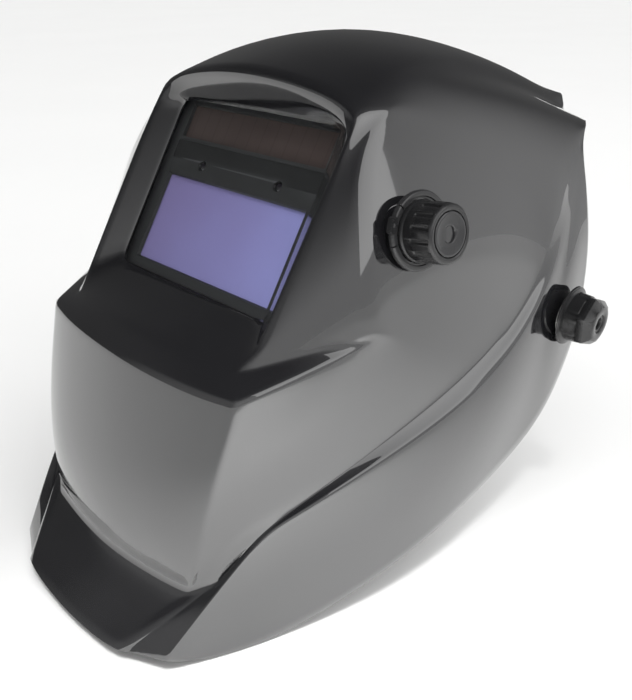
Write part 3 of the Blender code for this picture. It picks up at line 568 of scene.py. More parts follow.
def natural_spline(knots, points, stations):
    """Natural cubic spline through points (rows) at the knots, read at the stations."""
    knots = np.array(knots, float)
    points = np.array(points, float)
    if len(knots) == 1:
        return np.repeat(points, len(stations), axis=0)
    if len(knots) == 2:
        part = (np.array(stations) - knots[0]) / (knots[1] - knots[0])
        return points[0] + part[:, None] * (points[1] - points[0])
    count = len(knots)
    step = np.diff(knots)
    system = np.eye(count)
    slopes = np.zeros((count, 3))
    for i in range(1, count - 1):
        system[i, i - 1:i + 2] = step[i - 1], 2 * (step[i - 1] + step[i]), step[i]
        slopes[i] = 6 * ((points[i + 1] - points[i]) / step[i]
                         - (points[i] - points[i - 1]) / step[i - 1])
    bend = np.linalg.solve(system, slopes)
    values = []
    for station in stations:
        i = int(np.clip(np.searchsorted(knots, station, side="right") - 1, 0, count - 2))
        a = (knots[i + 1] - station) / step[i]
        b = (station - knots[i]) / step[i]
        curve = ((a ** 3 - a) * bend[i] + (b ** 3 - b) * bend[i + 1]) * step[i] ** 2 / 6
        values.append(a * points[i] + b * points[i + 1] + curve)
    return np.array(values)


def line_points(runs):
    """The 16 points of one feature line."""
    points = np.zeros((STATIONS, 3))
    for run in runs:
        knots = sorted(run)
        stations = list(range(knots[0], knots[-1] + 1))
        points[knots[0]:knots[-1] + 1] = natural_spline(knots, [run[k] for k in knots], stations)
    return points


def shell_lines():
    """All ten feature lines of the left half, from the centre line out to the rim."""
    lines = [line_points(runs) for runs in (CENTRE, WINDOW_EDGE, FRAME_EDGE, CHEEK, SIDE, SWOOSH_TOP)]
    foot = line_points(SWOOSH_FOOT)
    groove = (lines[5] + foot) / 2 - np.array((SWOOSH_GROOVE, 0, 0))
    return lines + [groove, foot, line_points(LOBE), line_points(RIM)]


# How sharp the shell's edges are: (line or station, first, last, sharpness)
CREASED_STATIONS = [
    (4, 0, 2, 0.85), (4, 2, 3, 0.6), (4, 3, 4, 0.4),
    (5, 1, 2, 0.9), (7, 1, 2, 0.9), (8, 0, 2, 0.7), (8, 2, 3, 0.85), (9, 0, 2, 0.8), (9, 2, 3, 0.7),
    (14, 0, 5, 0.45)]
CREASED_LINES = [
    (2, 4, 9, 0.85), (2, 9, 14, 0.6), (3, 4, 8, 0.7), (3, 8, 9, 0.8),
    (5, 3, 7, 0.3), (5, 7, 10, 0.5), (5, 10, 15, 0.7), (7, 8, 13, 0.4), (7, 13, 15, 0.6)]
# Corner points that stay pointed: (line, station, sharpness)
CREASED_CORNERS = [(1, 5, 0.8), (1, 7, 0.8), (1, 0, 0.6), (2, 0, 0.5), (4, 0, 0.8), (5, 0, 0.4)]


def shell_cage():
    """The control cage of the whole shell, with the window left open."""
    lines = shell_lines()
    bm = bmesh.new()
    sharp = bm.edges.layers.float.new("crease_edge")
    corner = bm.verts.layers.float.new("crease_vert")
    grid = {}
    for column in range(-9, 10):
        side = -1 if column < 0 else 1
        for station in range(STATIONS):
            x, up, out = lines[abs(column)][station]
            grid[column, station] = bm.verts.new((side * x, -out, up))
    for column in range(-9, 9):
        for station in range(STATIONS - 1):
            if column in (-1, 0) and station in (5, 6):
                continue
            bm.faces.new((grid[column, station], grid[column, station + 1],
                          grid[column + 1, station + 1], grid[column + 1, station]))
    for side in (-1, 1):
        for station, first, last, amount in CREASED_STATIONS:
            for column in range(first, last):
                ends = (grid[side * column, station], grid[side * (column + 1), station])
                bm.edges.get(ends)[sharp] = amount
        for column, first, last, amount in CREASED_LINES:
            for station in range(first, last):
                ends = (grid[side * column, station], grid[side * column, station + 1])
                bm.edges.get(ends)[sharp] = amount
        for column, station, amount in CREASED_CORNERS:
            grid[side * column, station][corner] = amount
    bmesh.ops.recalc_face_normals(bm, faces=bm.faces)
    return bm


def make_shell():
    bm = shell_cage()
    mesh = bpy.data.meshes.new("shell_surface")
    bm.to_mesh(mesh)
    bm.free()
    shell = bpy.data.objects.new("shell_surface", mesh)
    bpy.context.scene.collection.objects.link(shell)
    mesh.transform(SHELL)
    mesh.shade_smooth()
    mesh.materials.append(gloss_black())
    mesh.materials.append(satin_black("shell_inside", (0.014, 0.014, 0.015), 0.42, 1400, 0.06))
    smooth = shell.modifiers.new("surface", "SUBSURF")
    smooth.levels = SHELL_LEVEL
    smooth.render_levels = SHELL_LEVEL
    wall = shell.modifiers.new("wall", "SOLIDIFY")
    wall.thickness = SHELL_WALL * MM
    wall.offset = -1.0
    wall.use_even_offset = True
    wall.material_offset = 1
    wall.material_offset_rim = 1
    across = turned_about(SHELL, (0, PIVOT_Y, PIVOT_Z), 90, "Y")
    bore = turned([(-160, PIVOT_HOLE), (160, PIVOT_HOLE)], 48)
    seat = along(SHELL, SHADE_SEAT, SHADE_AXIS)
    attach(shell, "visor")
    cut(shell, [guide("pivot_bore", bore, across, "visor"),
                guide("shade_bore", turned([(-15, 4.1), (15, 4.1)], 48), seat, "visor")])
    rounded = shell.modifiers.new("rounded", "BEVEL")
    rounded.width = 0.7 * MM
    rounded.segments = 2
    rounded.limit_method = "ANGLE"
    rounded.angle_limit = math.radians(62)
    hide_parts("helmet_shell")
    return shell


# ---------------------------------------------------------------- filter cartridge and its holder
CASE_FRONT = 5.0               # depth of the cartridge's front half
CASE_BACK = 9.0
BACK = CARTRIDGE_Y + CASE_BACK


def upright(size, centre_z, y_low, y_high, corner=1.5, centre_x=0.0):
    """An upright rounded plate behind the window."""
    low = (centre_x - size[0] / 2, y_low, centre_z - size[1] / 2)
    high = (centre_x + size[0] / 2, y_high, centre_z + size[1] / 2)
    return slab(low, high, corner)


def funnel(size, centre_z, y_deep, y_front, grow, corner=1.0):
    """A cutter that opens towards the front, for a bevelled reveal."""
    bm = upright(size, centre_z, y_front, y_deep, corner)
    for vert in bm.verts:
        if vert.co.y < (y_deep + y_front) / 2:
            vert.co.x += math.copysign(grow, vert.co.x)
            vert.co.z += math.copysign(grow, vert.co.z - centre_z)
    return bm


def eye(side, y=CARTRIDGE_Y):
    return turned_about(SHELL, (side * SENSOR_X, y, SENSOR_Z), 90, "X")


def dial_place(side):
    return turned_about(SHELL, (side * 22 + 10, BACK, 47), -90, "X")


def make_cartridge():
    matte = filter_case()
    front = CARTRIDGE_Y
    split = front + CASE_FRONT
    hollow = (CARTRIDGE[0] - 3, CARTRIDGE[1] - 3)
    case = piece("cartridge_front", upright(CARTRIDGE, CARTRIDGE_Z, front, split, 2.5), SHELL, matte, "visor",
                 ["filter_front_case"], bevel=0.25)
    reveal = 1.3
    cut(case, [
        guide("front_hollow", upright(hollow, CARTRIDGE_Z, front + 1.5, split + 2), SHELL, "visor"),
        guide("pane_reveal", funnel(LCD_PANE, 0, front + 2.5, front - 0.05, reveal), SHELL, "visor"),
        guide("solar_reveal", funnel(SOLAR_PANE, SOLAR_Z, front + 2.5, front - 0.05, 0.6), SHELL, "visor"),
        guide("title_recess", upright((98, 9.5), 34.5, front - 1, front + 0.35, 1.0), SHELL, "visor"),
        *[guide("eye_reveal", turned([(-3, 2.4), (-0.5, 2.4), (0.4, 3.1)], 48), eye(side), "visor")
          for side in (-1, 1)]])
    cover = piece("cartridge_back", upright(CARTRIDGE, CARTRIDGE_Z, split + 0.3, BACK, 2.5), SHELL, matte,
                  "visor", ["filter_back_case"], bevel=0.3)
    cut(cover, [
        guide("back_hollow", upright(hollow, CARTRIDGE_Z, split - 2, BACK - 1.5), SHELL, "visor"),
        guide("back_view", upright(LCD_PANE, 0, split, BACK + 2), SHELL, "visor"),
        guide("back_battery", upright((21, 21), 34, BACK - 3, BACK + 2, 4, CELL_X), SHELL, "visor"),
        *[guide("back_dial", turned([(-4, 2.2), (4, 2.2)], 32), dial_place(side), "visor") for side in (-1, 1)]])
    rib = [upright((3.0, 0.9), 60.2 - 2.2 * i, BACK - 0.2, BACK + 0.5, 0.2, x) for i in range(2)
           for x in (-50, 50)]
    piece("cartridge_grips", joined(rib), SHELL, matte, "visor")
    violet = violet_glass()
    pane = (LCD_PANE[0] + 5, LCD_PANE[1] + 5)
    piece("filter_glass", upright(pane, 0, front + 1.8, front + 3.0, 1.0), SHELL, violet, "visor",
          ["uv_ir_glass"], bevel=0.2)
    piece("solar_strip", upright((97, 17.5), SOLAR_Z, front + 1.8, front + 3.2, 0.8), SHELL, solar_strip(),
          "visor", ["solar_cell"], bevel=0.15)
    lens = gloss_black("sensor_lens", (0.006, 0.004, 0.008))
    for side, name in ((1, "left"), (-1, "right")):
        dome = [(-0.2, 2.7), (1.6, 2.7)] + [(1.6 + 1.9 * math.sin(a), 2.7 * math.cos(a))
                                            for a in np.radians((15, 30, 45, 60, 75, 86))]
        piece("sensor_dome_" + name, turned(dome, 48), eye(side, front + 4.0), lens, "visor",
              ["arc_sensor_" + name], sharp_angle=50)
    door = piece("battery_lid", upright((24, 24), 34, BACK + 0.3, BACK + 1.5, 4, CELL_X), SHELL, matte, "visor",
                 ["battery_door"], bevel=0.3)
    ribs = joined([upright((14, 0.9), 27.5 + 2.0 * i, BACK + 1.25, BACK + 3, 0.3, CELL_X) for i in range(3)]
                  + [upright((9, 1.4), 39.5, BACK + 0.9, BACK + 3, 0.6, CELL_X)])
    cut(door, [guide("lid_grooves", ribs, SHELL, "visor")])
    make_dials(matte)
    NODES["lcd_shutter"].data.materials[0] = gloss_black("lcd_stack", (0.012, 0.030, 0.016))
    NODES["circuit_board"].data.materials[0] = board()
    NODES["coin_cell"].data.materials[0] = steel("nickel_cell", (0.66, 0.65, 0.62))


def figure(text, size, place):
    """A raised printed figure as a bmesh, from Blender's own typeface."""
    data = bpy.data.curves.new("figure", "FONT")
    data.body = text
    data.size = size
    data.align_x = "CENTER"
    data.align_y = "CENTER"
    data.extrude = 0.06
    obj = bpy.data.objects.new("figure", data)
    bpy.context.scene.collection.objects.link(obj)
    bpy.context.view_layer.update()
    mesh = obj.to_mesh()
    bm = bmesh.new()
    bm.from_mesh(mesh)
    obj.to_mesh_clear()
    bpy.data.objects.remove(obj)
    bpy.data.curves.remove(data)
    return moved(bm, place)


def make_dials(matte):
    """The two adjusters on the cartridge's back, each with ticks and figures round it."""
    ink = white_marking()
    grip = lobes(7.0, 0.75, 18, 0.6)
    for side, name in ((1, "sensitivity"), (-1, "delay")):
        place = dial_place(side)
        dial = piece(name + "_knob", turned([
            (-2.4, 1.9), (0.3, 1.9), (0.3, 6.3), (0.7, grip), (3.1, grip), (3.6, 6.3), (3.6, 4.9), (3.1, 4.6)], 144),
            place, SATIN, name + "_dial", [name + "_dial"], sharp_angle=40)
        cut(dial, [guide(name + "_slot", slab((-4.4, -0.55, 2.5), (4.4, 0.55, 5), 0.4, 2), place, "visor")])
        pointer = slab((4.9, -0.35, 3.55), (6.4, 0.35, 3.72), 0.2, 2)
        piece(name + "_pointer", pointer, place, ink, name + "_dial")
        marks = []
        for step in range(9):
            angle = math.radians(-225 + 270 * step / 8)
            long = step % 4 == 0
            tick = slab((8.0, -0.18, -0.05), (9.4 if long else 8.8, 0.18, 0.07))
            marks.append(moved(tick, Matrix.Rotation(angle, 4, "Z")))
        for step, text in ((0, "1"), (4, "5"), (8, "9")):
            angle = math.radians(-225 + 270 * step / 8)
            spot = Vector((11.0 * math.cos(angle), 11.0 * math.sin(angle), 0.0))
            if abs(spot.x) < 10.5 or step == 4:
                marks.append(figure(text, 2.6, Matrix.Translation(spot)))
        piece(name + "_scale", joined(marks), place, ink, "visor")


def make_lenses_and_holder():
    clear = clear_lens()
    piece("cover_lens_front", upright((113, 93), CARTRIDGE_Z, -0.8, 0.2, 2.0), SHELL, clear, "visor",
          ["outer_cover_lens"])
    piece("cover_lens_back", upright((99, 44), -1.2, BACK + 0.3, BACK + 1.3, 1.5), SHELL, clear, "visor",
          ["inner_cover_lens"])
    holder = piece("holder_frame", upright((120, 100), CARTRIDGE_Z, 0.6, BACK + 3.4, 5), SHELL, SATIN, "visor",
                   ["filter_holder"], bevel=0.6)
    rest = (CARTRIDGE[0] + 0.8, CARTRIDGE[1] + 0.8)
    cut(holder, [
        guide("holder_pocket", upright(rest, CARTRIDGE_Z, -3, BACK + 0.3, 2.0), SHELL, "visor"),
        guide("holder_window", upright((103, 83), CARTRIDGE_Z, 0, BACK + 6, 4.0), SHELL, "visor"),
        guide("holder_lighten", joined([
            upright((16, 6), CARTRIDGE_Z + 50, 4.5, BACK - 1, 1.0, x) for x in (-40, -20, 0, 20, 40)]
            + [upright((16, 6), CARTRIDGE_Z - 50, 4.5, BACK - 1, 1.0, x) for x in (-40, -20, 0, 20, 40)]),
            SHELL, "visor")])
    clips = []
    for x in (-34, 34):
        for sign in (-1, 1):
            z = CARTRIDGE_Z + sign * 45.2
            clips.append(slab((x - 6, BACK + 3.2, min(z, z - sign * 4.6)), (x + 6, BACK + 4.6, max(z, z - sign * 4.6)),
                              1.4, 1))
    piece("holder_clips", joined(clips), SHELL, SATIN, "visor", bevel=0.35)


# ---------------------------------------------------------------- shade control
DIMPLE_TURN = -77.0            # degrees round the knob to the dimple's shallow edge
GRIP_RIBS = 14


def make_shade_control():
    seat = along(SHELL, SHADE_SEAT, SHADE_AXIS)
    low = SEAT_LIFT
    arc = [(low + 1.3 + 1.1 * math.sin(a), 15.3 + 1.1 * math.cos(a)) for a in np.radians((0, 30, 60, 90))]
    bezel = piece("shade_ring", turned([(low, 13.0), (low, 16.2), *arc, (2.8, 14.0), (2.2, 13.7), (2.2, 13.0)], 144,
                                       closed=True),
                  seat, SATIN, "visor", ["shade_bezel"], sharp_angle=40, bevel=0.15)
    lines = []
    for degrees in (62, 122, 242, 302):
        lines.append(moved(slab((12.5, -0.3, 1.9), (18, 0.3, 6)), Matrix.Rotation(math.radians(degrees), 4, "Z")))
    cut(bezel, [guide("ring_splits", joined(lines), seat, "visor")])
    ears = []
    for degrees in (92, 272):
        ear = slab((14.2, -3.4, low), (17.4, 3.4, 3.1), 1.3, 2)
        ears.append(moved(ear, Matrix.Rotation(math.radians(degrees), 4, "Z")))
    ear_piece = piece("shade_ring_ears", joined(ears), seat, SATIN, "visor", bevel=0.4)
    dimples = [moved(turned([(2.5, 0.9), (5, 0.9)], 24), Matrix.Rotation(math.radians(degrees), 4, "Z")
                     @ Matrix.Translation((15.9, 0, 0))) for degrees in (92, 272)]
    cut(ear_piece, [guide("ear_dimples", joined(dimples), seat, "visor")])

    def ribbed(radius):
        """Square-topped ribs round the grip."""
        def at(angle):
            wave = math.cos(GRIP_RIBS * angle)
            return radius - 0.8 * (0.5 - 0.5 * math.tanh(4 * (wave + 0.55)))
        return at

    rim = [(16.4 + 1.9 * math.sin(a), 10.3 + 1.7 * math.cos(a)) for a in np.radians((25, 45, 70, 95))]
    piece("shade_grip", turned([
        (16.2, 3.1), (6.2, 3.1), (6.2, 6.6), (low + 0.6, 6.6), (low + 0.6, 12.2), (1.8, 12.7), (2.9, 12.75),
        (3.6, 12.5), (4.0, 12.1), (7.6, 12.1), (8.0, ribbed(12.3)), (15.6, ribbed(12.1)), (16.4, ribbed(11.95)), *rim,
        (17.9, 9.3), (16.2, 9.1)], 240, closed=True), seat, SATIN, "shade_knob", ["shade_knob"],
        sharp_angle=42)
    dish = [(18.0, 8.75), (18.25, 8.3), (18.1, 7.6), (17.75, 6.2), (17.55, 4.2)]
    cap = piece("shade_cap", turned([(16.5, 8.75), *dish, (17.5, 1.0)], 144), seat,
                satin_black("cap_polished", (0.014, 0.014, 0.015), 0.2, 2600, 0.02), "shade_knob",
                ["shade_knob_cap"], sharp_angle=60)
    tilt = Matrix.Translation((0, 0, 17.2)) @ Matrix.Rotation(math.radians(-8), 4, "Y")
    dimple = moved(turned([(0, 3.3), (3, 3.7)], 96), Matrix.Rotation(math.radians(DIMPLE_TURN), 4, "Z") @ tilt)
    cut(cap, [guide("cap_dimple", dimple, seat, "shade_knob")])
    make_lead()


# The lead's way from the shade housing's back round to the cartridge, in the shell frame
LEAD_ROUTE = [(71.0, 24.6, 29.1), (66.0, 25.6, 28.7), (60.5, 25.9, 28.4), (55.0, 24.3, 29.0),
              (50.2, 20.4, 30.6), (47.2, 15.2, 31.8), (46.5, 9.9, 32.0)]
LEAD_DIAMETER = 3.2


def make_lead():
    """The lead's sleeve, with a ribbed strain relief at each end."""
    points = natural_spline(range(len(LEAD_ROUTE)), LEAD_ROUTE, np.linspace(0, len(LEAD_ROUTE) - 1, 73))
    bm = bmesh.new()
    loops = []
    count = 20
    last = len(points) - 1
    for i, point in enumerate(points):
        ahead = Vector(points[min(i + 1, last)]) - Vector(points[max(i - 1, 0)])
        turn = ahead.to_track_quat("Z", "Y")
        near_end = min(i, last - i)
        ribs = 0.16 if near_end < 16 and near_end % 4 < 2 else 0.0
        taper = 0.0 if near_end < 16 else 0.35
        radius = LEAD_DIAMETER / 2 - taper - ribs
        loops.append([bm.verts.new(Vector(point) + turn @ Vector((radius * math.cos(2 * math.pi * k / count),
                                                                  radius * math.sin(2 * math.pi * k / count), 0)))
                      for k in range(count)])
    for first, second in zip(loops, loops[1:]):
        for k in range(count):
            m = (k + 1) % count
            bm.faces.new((first[k], first[m], second[m], second[k]))
    bm.faces.new(reversed(loops[0]))
    bm.faces.new(loops[-1])
    piece("lead_sleeve", bm, SHELL, rubber_lead(), "visor", ["shade_lead"], sharp_angle=60)


# ---------------------------------------------------------------- pivots
def make_pivot(side, name):
    axis = turned_about(HEAD, (0, 0, 0), 90 * side, "Y")
    out = PIVOT_FACE + 0.3

    def hexagon(radius, soft):
        """A hexagon with rounded corners; soft is 1 for round."""
        def at(angle):
            step = math.pi / 3
            local = (angle + step / 2) % step - step / 2
            flat = radius * math.cos(step / 2) / math.cos(local)
            return flat + (radius * 0.94 - flat) * soft
        return at

    knob = [(out + 11, 4.2), (out + 1.3, 4.2), (out + 1.3, 14.9), (out + 1.5, 15.3), (out + 2.0, 15.35),
            (out + 2.5, 15.1), (out + 2.6, 14.6), (out + 2.9, 14.5), (out + 3.2, 13.5), (out + 3.5, 12.7),
            (out + 9.4, 12.2), (out + 9.8, hexagon(13.0, 0.1)), (out + 10.2, hexagon(13.3, 0.04)),
            (out + 13.4, hexagon(13.3, 0.04)), (out + 13.8, hexagon(13.1, 0.06)), (out + 16.6, hexagon(10.4, 0.12)),
            (out + 17.1, 9.0), (out + 17.4, 8.2), (out + 17.4, 5.2), (out + 17.1, 4.7), (out + 16.6, 4.5),
            (out + 16.5, 3.2), (out + 16.1, 2.9), (out + 13.5, 2.8)]
    piece("pivot_knob_" + name, turned(knob, 144), axis, SATIN, "tension_knob_" + name,
          ["tension_knob_" + name], sharp_angle=38)
    NODES["knob_washer_" + name].data.materials[0] = STEEL_SKIN
    NODES["pivot_bolt_" + name].data.materials[0] = STEEL_SKIN
    NODES["spring_washer_" + name].data.materials[0] = STEEL_SKIN
    NODES["friction_washer_" + name].data.materials[0] = satin_black("natural_nylon_" + name, (0.62, 0.60, 0.54),
                                                                     0.45, 1800, 0.03, 0.0)
    tilt = piece("tilt_disc_" + name, turned([(101.4, 4.4), (101.4, 14.2), (101.9, 14.5), (103.1, 14.5),
                                              (103.6, 14.1), (103.6, 4.4)], 96, closed=True), axis, STRAP_SKIN,
                 "headgear", ["tilt_plate_" + name])
    holes = []
    for step in range(4):
        angle = math.radians(47 * step + 12.7)
        holes.append(moved(turned([(100, 1.5), (106, 1.5)], 32),
                           Matrix.Translation((9.9 * math.cos(angle), 9.9 * math.sin(angle), 0))))
    cut(tilt, [guide("tilt_holes_" + name, joined(holes), axis, "headgear")])
    plate = piece("temple_" + name, temple_outline(side), HEAD, STRAP_SKIN, "headgear", ["temple_plate_" + name],
                  bevel=0.5)
    cut(plate, [guide("temple_hub_" + name, turned([(85.0, 21.0), (86.9, 20.2), (88.0, 19.0), (89.5, 16.6),
                                                    (92.0, 14.6), (101.1, 13.4)], 96), axis, "headgear")], "UNION")
    cut(plate, [guide("temple_recess_" + name, turned([(80, 9.3), (88.0, 9.3)], 64), axis, "headgear"),
                guide("temple_bore_" + name, turned([(80, 4.3), (110, 4.3)], 64), axis, "headgear"),
                *[guide("stud_bore_" + name, turned([(80, STUD_RADIUS + 0.3), (110, STUD_RADIUS + 0.3)], 32),
                        turned_about(HEAD, (0, reach, STUD_HEIGHT), 90 * side, "Y"), "headgear")
                  for reach in (-STUD_BACK, STUD_BACK)]])
    ribs = []
    for degrees in range(0, 360, 45):
        rib = slab((13.0, -0.8, 88.0), (19.0, 0.8, 90.0))
        for vert in rib.verts:
            if vert.co.x > 16 and vert.co.z > 89:
                vert.co.z = 87.4
        ribs.append(moved(rib, Matrix.Rotation(math.radians(degrees + 22), 4, "Z")))
    piece("temple_ribs_" + name, joined(ribs), axis, STRAP_SKIN, "headgear", bevel=0.25)


def temple_outline(side):
    """The temple plate: a flat, rounded Y that carries the bands and straps."""
    corners = [(-34, -12), (12, -12), (33, -27), (40, -15), (24, 8), (26, 44), (12, 47), (2, 34), (-8, 47),
               (-24, 42), (-16, 14), (-34, 12)]
    bm = bmesh.new()
    face = bm.faces.new([bm.verts.new((side * 84.2, y, z)) for y, z in corners])
    solid = bmesh.ops.extrude_face_region(bm, geom=[face])
    moving = [item for item in solid["geom"] if isinstance(item, bmesh.types.BMVert)]
    bmesh.ops.translate(bm, vec=(side * 2.6, 0, 0), verts=moving)
    edges = [e for e in bm.edges if abs((e.verts[0].co - e.verts[1].co).x) > 1]
    bmesh.ops.bevel(bm, geom=edges, offset=3.0, segments=5, profile=0.5, affect="EDGES", clamp_overlap=True)
    return bm


# ---------------------------------------------------------------- headgear bands
def super_arc(angle, wide, tall, power=2.3):
    """A point of a rounded-square quarter: angle 0 at (wide, 0), 90 degrees at (0, tall)."""
    c = math.cos(angle)
    s = math.sin(angle)
    return (wide * math.copysign(abs(c) ** (2 / power), c), tall * math.copysign(abs(s) ** (2 / power), s))


def path_normals(path, ups):
    normals = []
    for i in range(len(path)):
        ahead = path[min(i + 1, len(path) - 1)] - path[max(i - 1, 0)]
        normals.append(ahead.cross(ups[i]).normalized())
    return normals


def swept(path, normals, ups, outline):
    """A solid along a path; outline(step) gives its (out, up) points in mm."""
    bm = bmesh.new()
    loops = []
    for i, (point, normal, lift) in enumerate(zip(path, normals, ups)):
        loops.append([bm.verts.new(point + normal * out + lift * up) for out, up in outline(i)])
    count = len(loops[0])
    for first, second in zip(loops, loops[1:]):
        for k in range(count):
            m = (k + 1) % count
            bm.faces.new((first[k], first[m], second[m], second[k]))
    bm.faces.new(reversed(loops[0]))
    bm.faces.new(loops[-1])
    return bm


def band_outline(thick, low, high):
    """A flat band's cross-section, with rolled edges."""
    half = thick / 2
    roll = half * 0.9
    points = []
    for centre_out, centre_up, start in ((half - roll, low + roll, -90), (half - roll, high - roll, 0),
                                         (roll - half, high - roll, 90), (roll - half, low + roll, 180)):
        for step in range(4):
            angle = math.radians(start + 30 * step)
            points.append((centre_out + roll * math.cos(angle), centre_up + roll * math.sin(angle)))
    return points


def banded(path, ups, thick, low, high, tip=0.0):
    """A rolled-edge band along a path, its ends rounded off over tip millimetres."""
    lengths = [0.0]
    for first, second in zip(path, path[1:]):
        lengths.append(lengths[-1] + (second - first).length)
    count = len(path)
    lows = low if isinstance(low, list) else [low] * count
    highs = high if isinstance(high, list) else [high] * count

    def outline(i):
        near = min(lengths[i], lengths[-1] - lengths[i])
        share = 1.0
        if near < tip:
            share = max(0.3, math.sqrt(max(0.0, 1 - ((tip - near) / tip) ** 2)))
        centre = (lows[i] + highs[i]) / 2
        return band_outline(thick, centre + (lows[i] - centre) * share, centre + (highs[i] - centre) * share)
    return swept(path, path_normals(path, ups), ups, outline)


UP = Vector((0, 0, 1))


def brow_path(inset=0.0, reach=90, start=0.0, count=72):
    """The forehead band's middle line, from the left temple round the front to the right."""
    points = []
    if start:
        points.append(Vector((BAND_X - inset, start, 0)))
        points.append(Vector((BAND_X - inset, (start - 22) / 2, 0)))
    for i in range(count + 1):
        angle = math.radians(reach * (2 * i / count - 1))
        x, y = super_arc(math.pi / 2 - abs(angle), BAND_X - inset, BROW_Y - 22 - inset)
        rise = 16 * (y / (BROW_Y - 22)) ** 2
        points.append(Vector((-x if angle > 0 else x, -22 - y, rise)))
    if start:
        points.append(Vector((-BAND_X + inset, (start - 22) / 2, 0)))
        points.append(Vector((-BAND_X + inset, start, 0)))
    return points


def nape_arc(side, radius, first, last, count):
    """Points of the rear band's arc; 0 degrees is at the temple, 90 at the nape."""
    points = []
    for i in range(count + 1):
        angle = math.radians(first + (last - first) * i / count)
        points.append(Vector((side * radius * math.cos(angle), NAPE_CENTRE + radius * math.sin(angle), 0)))
    return points


def drilled(target, name, place, spots, radius, body, long=0.0):
    """Holes or slots through a band, each along its own direction: spots are (point, direction, along)."""
    drills = []
    for point, direction, ahead in spots:
        if long:
            drill = slab((-long / 2, -radius, -4), (long / 2, radius, 4), radius * 0.96, 2)
        else:
            drill = turned([(-4, radius), (4, radius)], 20)
        z = Vector(direction).normalized()
        x = Vector(ahead).normalized()
        turn = Matrix((x, z.cross(x), z)).transposed().to_4x4()
        drills.append(moved(drill, Matrix.Translation(point) @ turn))
    cut(target, [guide(name, joined(drills), place, body)])


def rivet_head(place, side, y, z, out, name, inward=False, radius=4.2):
    """A domed rivet head on a temple plate."""
    axis = turned_about(place, (0, y, z), 90 * side, "Y")
    sign = -1 if inward else 1
    dome = [(out, radius), (out + sign * 0.5, radius), (out + sign * 1.0, radius * 0.88),
            (out + sign * 1.4, radius * 0.6), (out + sign * 1.5, radius * 0.25)]
    return piece(name, turned(dome, 48), axis, STRAP_SKIN, "headgear", sharp_angle=60)


def make_bands():
    path = brow_path(start=-2.0)
    count = len(path)
    narrow = [14 - 4 * abs(2 * i / (count - 1) - 1) ** 2 for i in range(count)]
    band = piece("brow_strap", banded(path, [UP] * count, 1.8, [-h for h in narrow], narrow, 7.0), HEAD, STRAP_SKIN,
                 "headgear", ["browband"], sharp_angle=50)
    normals = path_normals(path, [UP] * count)
    spots = []
    for i in (5, 8, 66, 69, 72):
        spots.append((path[i], normals[i], path[i + 1] - path[i - 1]))
    for i in range(16, count - 16, 5):
        spots.append((path[i] + UP * 8.5, normals[i], path[i + 1] - path[i - 1]))
        spots.append((path[i] - UP * 8.5, normals[i], path[i + 1] - path[i - 1]))
    drilled(band, "brow_slots", HEAD, spots, 1.5, "headgear", long=8.0)
    for side, name in ((1, "left"), (-1, "right")):
        path = [Vector((side * BAND_X, y, 0)) for y in (8, 12, 16, 20)] + nape_arc(side, BAND_X, 0, 52, 36)
        count = len(path)
        strap = piece("nape_strap_" + name, banded(path, [UP] * count, 1.8, -11.0, 11.0, 8.0), NAPE, STRAP_SKIN,
                      "headgear", ["rear_band_" + name], sharp_angle=50)
        normals = path_normals(path, [UP] * count)
        spots = [(path[i], normals[i], path[i + 1] - path[i - 1]) for i in range(9, count - 4, 4)]
        drilled(strap, "nape_holes_" + name, NAPE, spots, 2.2, "headgear")
        make_tail(side, name)
        for place, label, y in ((HEAD, "brow", -24), (NAPE, "rear", 17)):
            axis = turned_about(place, (0, y, 0), 90 * side, "Y")
            piece("%s_stud_%s" % (label, name), turned([(80.4, 3.0), (80.5, 3.6), (80.9, 4.2), (81.7, 4.2)], 48),
                  axis, STRAP_SKIN, "headgear", ["%s_rivet_%s" % (label, name)])
            rivet_head(place, side, y, 0, 86.8, "%s_head_%s" % (label, name))


TEETH = 12


def make_tail(side, name):
    """A rack tail: a wide tongue, then a toothed edge that the pinion drives."""
    angles = list(np.linspace(40, 64, 25)) + [64.4]
    lows = [-8.5] * 25
    highs = [8.5] * 25
    base, tip, top = 5.4, 4.6, 8.5
    lows.append(base if side > 0 else -top)
    highs.append(top if side > 0 else -base)
    pitch = (100 - 66) / TEETH
    for tooth in range(TEETH):
        for part, edge in ((0.0, base), (0.22, base), (0.34, tip), (0.5, tip), (0.62, base), (0.8, base)):
            angles.append(66 + (tooth + part) * pitch)
            lows.append(edge if side > 0 else -top)
            highs.append(top if side > 0 else -edge)
    path = []
    for angle in angles:
        turn = math.radians(angle)
        path.append(Vector((side * TAIL_RADIUS * math.cos(turn), NAPE_CENTRE + TAIL_RADIUS * math.sin(turn), 0)))
    centre = Vector((0, NAPE_CENTRE, 0))
    normals = [(point - centre).normalized() for point in path]
    bm = swept(path, normals, [UP] * len(path), lambda i: [(0.8, lows[i]), (0.8, highs[i]), (-0.8, highs[i]),
                                                           (-0.8, lows[i])])
    tail = piece("rack_strap_" + name, bm, NAPE, STRAP_SKIN, "rack_tail_" + name, ["rack_tail_" + name],
                 bevel=0.2)
    spots = [(path[i], normals[i], UP) for i in range(3, 22, 4)]
    drilled(tail, "tail_holes_" + name, NAPE, spots, 1.8, "rack_tail_" + name)


# ---------------------------------------------------------------- crown straps
def strap_path(lean, radius, first, last, count):
    """Over the head, in a plane through the pivots that leans by some degrees."""
    points = []
    ups = []
    turn = Matrix.Rotation(math.radians(-lean), 3, "X")
    for i in range(count + 1):
        angle = math.radians(first + (last - first) * i / count)
        x, z = super_arc(angle, BAND_X, radius)
        points.append(turn @ Vector((x, 0, z)))
        ups.append(turn @ Vector((0, 1, 0)))
    return points, ups


